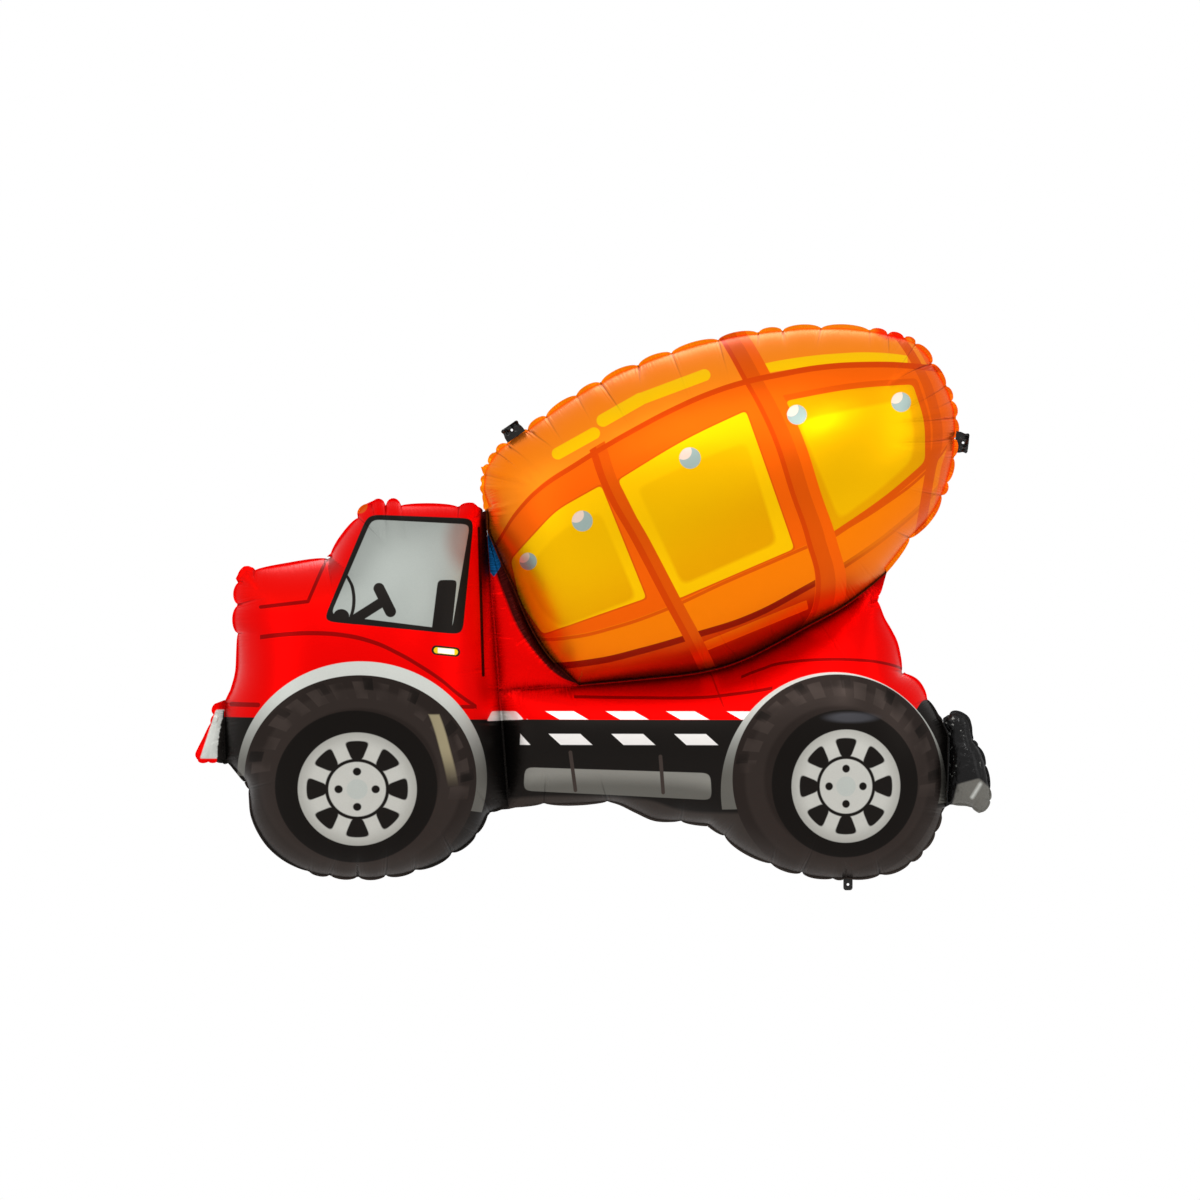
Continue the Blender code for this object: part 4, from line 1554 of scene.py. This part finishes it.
    def draw_panel(self, paint: Paint, outline: Sequence[Point], core: Sequence[Point], edge: float,
                   rim: Ink, even: float) -> None:
        """Print a yellow panel.

        Args:
            paint: the material.
            outline: the panel's corners.
            core: the corners of its inner field.
            edge: how far its dark edge reaches past the outline.
            rim: the ink between the outline and the inner field.
            even: the least share of plain yellow in the inner field.
        """
        shape = paint.polygon(outline, 0.0079)
        paint.print((shape + edge).mask(), Ink.BURNT_ORANGE)
        paint.print(shape.mask(), rim)
        slope = [(-0.4158, 0.2763), (-0.2350, 0.3667), (-0.0542, 0.4684), (0.1266, 0.5475)]
        # The inner field is painted deeper yellow below the slope line: painted shade.
        shade = paint.above(slope).fade(-0.0565, 0.0452)
        inner = paint.polygon(core, 0.0158)
        paint.print(inner.mask(0.004), paint.blend(Ink.DEEP_YELLOW, Ink.YELLOW, shade | even))

    def draw_rivets(self, paint: Paint) -> None:
        """Print the rivets with their pale upper left.

        Args:
            paint: the material.
        """
        for (x, z), radius in self.RIVETS:
            disc = paint.circle((x, z), radius)
            pale = paint.circle((x - 0.62 * radius, z + 0.62 * radius), 0.78 * radius)
            paint.print(disc.mask(), Ink.RIVET, 0.5)
            paint.print((disc & pale).mask(), Ink.RIVET_LIGHT)


class FrontBumper(Chamber):
    """The small bumper flap in front of the cab."""

    def draw(self, paint: Paint) -> None:
        """Print the red end and the silver face.

        Args:
            paint: the material.
        """
        low = 0.1960 - paint.z
        face = paint.polygon([(-0.7322, 0.1424), (-0.7073, 0.1424), (-0.7028, 0.1977), (-0.7141, 0.1977)],
                             0.0034)
        paint.print(face.mask(0.0012), Ink.SILVER, 0.8)
        fold = paint.right_of([(-0.7130, 0.1362), (-0.7113, 0.1633), (-0.7079, 0.1836), (-0.7051, 0.1994)])
        grooves = paint.noise(paint.place, 260.0, 2.0) * 0.0034
        paint.print((fold - 0.0017 + grooves & low).mask(0.001), Ink.BLACK, 0.1)


class RearBumper(Chamber):
    """The black bumper behind the rear wheel."""

    def draw(self, paint: Paint) -> None:
        """Print the black flap with its grey lower face and painted glints.

        Args:
            paint: the material.
        """
        paint.colour = Ink.TAB_BLACK
        grey = paint.polygon([(0.1164, 0.0853), (0.1672, 0.0729), (0.1627, 0.1068), (0.1480, 0.1203),
                              (0.1232, 0.1136)], 0.0045)
        paint.print(grey.mask(0.002), Ink.SHADED_SILVER, 0.5)
        # Pale specks on the knob and along the creases are painted glints.
        painted_glint = paint.noise(paint.place, 190.0, 2.0).fade(0.64, 0.70)
        creased = (paint.ellipse((0.1220, 0.1780), 0.0147, 0.0136)
                   | paint.stroke((0.1119, 0.1610), (0.1186, 0.1271), 0.0045)
                   | paint.stroke((0.1401, 0.1588), (0.1571, 0.1237), 0.0017))
        paint.print(painted_glint * creased.mask(0.003) * 0.35, Ink.SILVER)
        swoosh = paint.stroke((0.1401, 0.0989), (0.1492, 0.1136), 0.0018)
        paint.print(swoosh.mask(0.003) * 0.7, Ink.SILVER, 0.4)


@dataclass
class Tab:
    """A small black film tab with an eyelet.

    Attributes:
        node: the CAD tab that it stands for.
        body: the body that it moves with.
        joint: the fold at its root, if it has one.
        setback: the eyelet's distance from the root.
        tuck: how far the tab runs in between the plies of the drum's weld margin.
        gather: the share of its width that is drawn in at the middle.
        crumple: how far the film waves out of its plane.
        film: its thickness.
        eyelet, rim: the hole's radius, and that of the rolled rim round it.
        corner: the radius of its two free corners.
        pitch: the size of its grid.
        seed: which crumple it has.
    """

    node: str
    body: str
    joint: str | None
    setback: float
    tuck: float = 0.0050
    gather: float = 0.12
    crumple: float = 0.0042
    film: float = 0.0003
    eyelet: float = 0.0015
    rim: float = 0.0005
    corner: float = 0.003
    pitch: float = 0.0006
    seed: int = 5

    def place(self) -> Matrix:
        """The tab's own axes: X along its root, Z outwards, from the root's middle."""
        if self.joint is None:
            low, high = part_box(self.node)
            root, out = Vector(((low[0] + high[0]) / 2, 0, high[2])), Vector((0, 0, -1))
        else:
            fold = joint_named(self.joint)
            root, along = Vector(fold["pos_m"]), Vector(fold["axis"]).normalized()
            out = along.cross(Vector((0, 1, 0))).normalized()
            middle = sum((Vector(c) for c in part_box(self.node)), Vector()) / 2
            out = out if out.dot(middle - root) > 0 else -out
        across = Vector((0, 1, 0)).cross(out)
        axes = Matrix((across, Vector((0, 1, 0)), out)).transposed().to_4x4()
        return Matrix.Translation(root) @ axes

    def build(self) -> bpy.types.Object:
        """Build the crumpled tab with its rolled eyelet."""
        place = self.place()
        back = place.inverted()
        corners = [back @ v.co for v in frame["nodes"][self.node].data.vertices]
        low, high = min(c.z for c in corners) - self.tuck, max(c.z for c in corners)
        width = max(c.x for c in corners) - min(c.x for c in corners)
        shape = self.strip(width, low, high)
        self.crumple_up(shape, high)
        thicken(shape, self.film)
        self.add_rim(shape)
        bmesh.ops.transform(shape, matrix=place, verts=shape.verts)
        bmesh.ops.recalc_face_normals(shape, faces=shape.faces[:])
        piece = add_piece(f"{self.node}_film", shape)
        piece.data.materials.append(black_film())
        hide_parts(self.node)
        if self.joint is None:
            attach(piece, self.body)
        else:
            root, out = place.translation, place.to_3x3() @ Vector((0, 0, 1))
            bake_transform(piece, "envelope", self.body, tuple(root), tuple(root + out * self.setback * 0.6))
        return piece

    def strip(self, width: float, low: float, high: float) -> bmesh.types.BMesh:
        """The flat tab in its own axes, with round corners and the eyelet's hole.

        Args:
            width: its width.
            low, high: where it starts and ends along Z.

        Returns:
            The flat grid.
        """
        shape = bmesh.new()
        size = Matrix.Translation((0, 0, (low + high) / 2)) @ Matrix.Rotation(math.pi / 2, 4, "X")
        bmesh.ops.create_grid(shape, x_segments=round(width / self.pitch),
                              y_segments=round((high - low) / self.pitch), size=0.5,
                              matrix=size @ Matrix.Diagonal((width, high - low, 1, 1)))
        for vert in shape.verts:
            aside = abs(vert.co.x) - (width / 2 - self.corner)
            beyond = vert.co.z - (high - self.corner)
            if aside > 0 and beyond > 0 and math.hypot(aside, beyond) > 0:
                ease = max(aside, beyond) / math.hypot(aside, beyond)
                vert.co.x -= math.copysign(aside * (1 - ease), vert.co.x)
                vert.co.z -= beyond * (1 - ease)
        hole = [v for v in shape.verts if math.hypot(v.co.x, v.co.z - self.setback) < self.eyelet]
        bmesh.ops.delete(shape, geom=hole, context="VERTS")
        for vert in shape.verts:
            away = Vector((vert.co.x, 0, vert.co.z - self.setback))
            if vert.is_boundary and away.length < self.eyelet + 1.5 * self.pitch:
                vert.co = Vector((0, 0, self.setback)) + away.normalized() * self.eyelet
        return shape

    def crumple_up(self, shape: bmesh.types.BMesh, high: float) -> None:
        """Wave the tab out of its plane, more the further it is from its root.

        Args:
            shape: the flat tab.
            high: where it ends along Z.
        """
        random = np.random.default_rng(self.seed)
        phase = random.uniform(0, 2 * math.pi, 3)
        for vert in shape.verts:
            reach = min(max(vert.co.z, 0) / high, 1)
            vert.co.x *= 1 - self.gather * math.exp(-(((vert.co.z - 0.55 * high) / (0.3 * high)) ** 2))
            vert.co.y += self.crumple * reach * (
                0.6 * math.sin(vert.co.x * 560 + phase[0])
                + 0.3 * math.sin(vert.co.z * 900 + vert.co.x * 300 + phase[1])
                + 0.2 * math.sin(vert.co.x * 1400 + phase[2]))

    def add_rim(self, shape: bmesh.types.BMesh) -> None:
        """Turn the rolled rim round the eyelet.

        Args:
            shape: the tab's film, which gets the rim.
        """
        near = [v for v in shape.verts
                if math.hypot(v.co.x, v.co.z - self.setback) < self.eyelet + self.pitch]
        level = sum(v.co.y for v in near) / len(near)
        centre = Vector((0, level, self.setback))
        start = Matrix.Translation(centre + Vector((self.eyelet + self.rim, 0, 0)))
        ring = bmesh.ops.create_circle(shape, segments=10, radius=self.rim, matrix=start)["verts"]
        edges = [e for e in shape.edges if e.verts[0] in ring and e.verts[1] in ring]
        bmesh.ops.spin(shape, geom=ring + edges, cent=centre, axis=(0, 1, 0), angle=2 * math.pi,
                       steps=28, use_merge=True)


def joint_named(name: str) -> dict:
    """The frame's joint of that name."""
    return next(j for j in frame["joints"] if j["name"] == name)


def add_piece(name: str, shape: bmesh.types.BMesh) -> bpy.types.Object:
    """Make a piece from a bmesh in world coordinates.

    Args:
        name: the piece's name.
        shape: its mesh, which is freed.

    Returns:
        The new object.
    """
    mesh = bpy.data.meshes.new(name)
    shape.to_mesh(mesh)
    shape.free()
    mesh.shade_smooth()
    mesh.set_sharp_from_angle(angle=SMOOTH_ANGLE)
    piece = bpy.data.objects.new(name, mesh)
    bpy.context.collection.objects.link(piece)
    return piece


def black_film() -> bpy.types.Material:
    """The glossy black film of the tabs."""
    paint = Paint("black_film_creased")
    crease = paint.noise(paint.place, 420.0, 3.0)
    return paint.feed({
        "Base Color": paint.blend(Ink.TAB_BLACK, Ink.BLACK, crease * 0.5),
        "Roughness": crease * 0.2 + 0.12,
        "Normal": paint.bump(crease * 0.0006),
        "Specular IOR Level": 0.3,
    })


@dataclass(frozen=True)
class Valve:
    """The two plies of the self-sealing valve, which stay as the frame has them."""

    nodes: tuple[str, ...] = ("valve_front_ply", "valve_back_ply")

    def dress(self) -> None:
        """Give the plies a milky film without print."""
        paint = Paint("valve_film")
        cloud = paint.noise(paint.place, 160.0, 4.0)
        paint.feed({
            "Base Color": paint.blend(Ink.GLASS, Ink.WHITE, cloud),
            "Roughness": cloud * 0.2 + 0.22,
            "Normal": paint.bump(cloud * 0.0003, 0.5),
        })
        for name in self.nodes:
            frame["nodes"][name].data.materials.clear()
            frame["nodes"][name].data.materials.append(paint.material)


@dataclass
class Studio:
    """The pale floor, the soft light and the camera.

    Attributes:
        target: the point that the camera looks at.
        view_width: how wide the view is at the seam.
        lens, sensor: the camera's focal length and its sensor's width, in millimetres.
        floor_below: how far under the balloon the floor is.
    """

    target: Vector
    view_width: float = 1.356
    lens: float = 400.0
    sensor: float = 36.0
    floor_below: float = 0.45

    def build(self) -> None:
        """Set the whole studio."""
        bpy.context.scene.view_settings.view_transform = "Standard"
        self.add_floor()
        self.add_world()
        self.add_lights()
        self.add_camera()

    def add_floor(self) -> None:
        """Lay a wide round floor, seen as plain white paper."""
        shape = bmesh.new()
        low = Vector((self.target.x, 0, -self.floor_below))
        bmesh.ops.create_circle(shape, cap_ends=True, segments=96, radius=9.0, matrix=Matrix.Translation(low))
        bmesh.ops.bevel(shape, geom=shape.edges[:], offset=0.2, segments=3, profile=0.5, affect="EDGES",
                        material=-1)
        floor = add_piece("studio_floor", shape)
        paint = Paint("white_paper")
        paint.feed({"Base Color": (0.86, 0.86, 0.86), "Roughness": 0.8})
        seen = paint.node("ShaderNodeLightPath", {}, {}, "Is Camera Ray")
        glow = paint.node("ShaderNodeEmission", {}, {"Color": (1.0, 1.0, 1.0), "Strength": 1.0}, "Emission")
        paper = Value(paint.tree, paint.shader.outputs[0])
        both = paint.node("ShaderNodeMixShader", {}, {0: seen, 1: paper, 2: glow})
        output = paint.tree.nodes["Material Output"]
        connect(paint.tree, output.inputs["Surface"], both)
        floor.data.materials.append(paint.material)

    def add_world(self) -> None:
        """Surround the studio with white, dimmer from below."""
        world = bpy.data.worlds.new("white_room")
        world.use_nodes = True
        bpy.context.scene.world = world
        tree = world.node_tree
        place = tree.nodes.new("ShaderNodeTexCoord")
        apart = tree.nodes.new("ShaderNodeSeparateXYZ")
        tree.links.new(place.outputs["Generated"], apart.inputs[0])
        height = Value(tree, apart.outputs["Z"])
        seen = tree.nodes.new("ShaderNodeLightPath")
        seen = Value(tree, seen.outputs["Is Camera Ray"])
        light = height.fade(-0.45, 0.12) * 0.52 + 0.37
        strength = light * (1.0 - seen) + seen
        back = tree.nodes["Background"]
        back.inputs["Color"].default_value = (1.0, 1.0, 1.0, 1.0)
        connect(tree, back.inputs["Strength"], strength)

    def add_lights(self) -> None:
        """Hang the soft boxes: one large one over the front, a strip each side, one over the back and a small
        bright one.
        """
        boxes = (("key", (-0.5, -2.6, 2.6), (2.6, 1.6), 19.0),
                 ("left_strip", (-2.6, -1.6, 0.9), (0.7, 2.2), 6.0),
                 ("right_strip", (2.4, -1.5, 1.0), (0.7, 2.2), 6.0),
                 ("back", (0.2, 2.6, 2.4), (2.6, 1.6), 20.0),
                 ("spark", (1.1, -2.4, 1.5), (0.22, 0.22), 6.0))
        for name, offset, size, power in boxes:
            light = bpy.data.lights.new(name, "AREA")
            light.shape = "RECTANGLE"
            light.size, light.size_y = size
            light.energy = power
            lamp = bpy.data.objects.new(name, light)
            lamp.location = self.target + Vector(offset)
            lamp.rotation_euler = (self.target - lamp.location).to_track_quat("-Z", "Y").to_euler()
            bpy.context.collection.objects.link(lamp)

    def add_camera(self) -> None:
        """Look level at the balloon's side from far away."""
        camera = bpy.data.objects.new("camera", bpy.data.cameras.new("camera"))
        camera.data.lens = self.lens
        camera.data.sensor_width = self.sensor
        camera.data.clip_end = 200.0
        distance = self.view_width * self.lens / self.sensor
        camera.location = self.target + Vector((0, -distance, 0))
        camera.rotation_euler = (math.pi / 2, 0, 0)
        bpy.context.collection.objects.link(camera)
        bpy.context.scene.camera = camera


BUMPER_STYLE = PuckerStyle(pitch=0.026, round=0.06, shortest=0.012, longest=0.036, fold=0.0040, reach=0.014,
                           notch=0.0010, lean=0.0012, weld_pitch=0.010, weld_fold=0.0022, seed=21)
CALM_STYLE = PuckerStyle(pitch=0.040, longest=0.095, notch=0.0042, seed=3)
CAB_FOLDS = ((-0.4113, 0.4254), (-0.4395, 0.4288), (-0.5056, 0.4277), (-0.5226, 0.4401), (-0.5390, 0.4311),
             (-0.5571, 0.4186), (-0.5887, 0.3712), (-0.6701, 0.3497), (-0.6881, 0.3429), (-0.6870, 0.3158),
             (-0.6847, 0.2842))
CAB_EARS = (((-0.4271, 0.4322), 0.0022), ((-0.5141, 0.4379), 0.0060), ((-0.5311, 0.4379), 0.0060),
            ((-0.5480, 0.4266), 0.0040), ((-0.6791, 0.3508), 0.0050), ((-0.6893, 0.3305), 0.0030),
            ((-0.6881, 0.2989), 0.0030))
DRUM_FOLDS = ((0.0644, 0.6209), (0.0463, 0.6277), (0.0249, 0.6277), (-0.0305, 0.6328), (-0.0746, 0.6328),
              (-0.1021, 0.6277), (-0.1463, 0.6130), (-0.2000, 0.6017), (-0.2362, 0.5836), (-0.2791, 0.5659),
              (-0.3051, 0.5497), (-0.3406, 0.5282), (-0.3605, 0.5124), (-0.3853, 0.4977), (-0.3966, 0.4876),
              (-0.4079, 0.4763), (-0.4158, 0.4638))
CHASSIS_FOLDS = ((0.1051, 0.0797), (0.1129, 0.1689), (0.0915, 0.2107), (0.0649, 0.2419), (0.0365, 0.3215),
                 (0.0427, 0.3506))
GLOSSY_BLACK = Finish(metal=0.1, rough=0.14, coat=0.0, gloss=0.22, crumple=0.0090, gathered=0.009)


def chambers() -> list[Chamber]:
    """The balloon's six gas chambers."""
    drum = PuckerStyle(notch=0.0034, fold=0.0075, reach=0.028, longest=0.05, pitch=0.030, seed=12)
    return [
        Cab("cab", "cab", "red_film", margin=0.0024, style=CALM_STYLE, folds=CAB_FOLDS, ears=CAB_EARS,
            folds_on="envelope"),
        Chassis("chassis", "envelope", "red_film", margin=0.0024, style=replace(CALM_STYLE, seed=8),
                folds=CHASSIS_FOLDS),
        Drum("drum", "envelope", "orange_film", margin=0.0045, style=drum, folds=DRUM_FOLDS),
        Gusset("gusset", "envelope", "red_film", margin=0.0012, fullness=0.60, rounding=0.010, pitch=0.0010,
               style=PuckerStyle(seed=4, weld_pitch=0.022)),
        FrontBumper("front_bumper", "front_bumper", "silver_film", margin=0.0022, fullness=0.8,
                    rounding=0.008, pitch=0.0011, style=BUMPER_STYLE, sharp=math.radians(75),
                    finish=Finish(gathered=0.007), folds=((-0.7051, 0.2062), (-0.7181, 0.1927)),
                    ears=(((-0.7107, 0.2017), 0.0050),), folds_on="cab"),
        RearBumper("rear_bumper", "rear_bumper", "black_film", margin=0.0022, fullness=0.95,
                   rounding=0.004, pitch=0.0013, style=BUMPER_STYLE, sharp=math.radians(75),
                   finish=GLOSSY_BLACK, folds=((0.1390, 0.1610), (0.1130, 0.1949)),
                   ears=(((0.1333, 0.1836), 0.0045),), folds_on="envelope"),
    ]


def main() -> None:
    """Build the chambers, the tabs, the valve and the studio."""
    logging.basicConfig(level=logging.INFO, format="%(message)s")
    balloon = chambers()
    for chamber in balloon:
        chamber.build([other.seam for other in balloon if other is not chamber])
    tabs = (Tab("hang_tab_left", "hang_tab_left", "hang_tab_left_fold", 0.0050),
            Tab("hang_tab_right", "hang_tab_right", "hang_tab_right_fold", 0.0050, seed=9),
            Tab("tether_tab", "envelope", None, 0.0043, gather=0.0, crumple=0.0010, seed=2))
    for tab in tabs:
        LOG.info("%s: %d faces", tab.node, len(tab.build().data.polygons))
    Valve().dress()
    Studio(Vector((-0.2802, 0, 0.3215))).build()


if __name__ == "__main__":
    main()
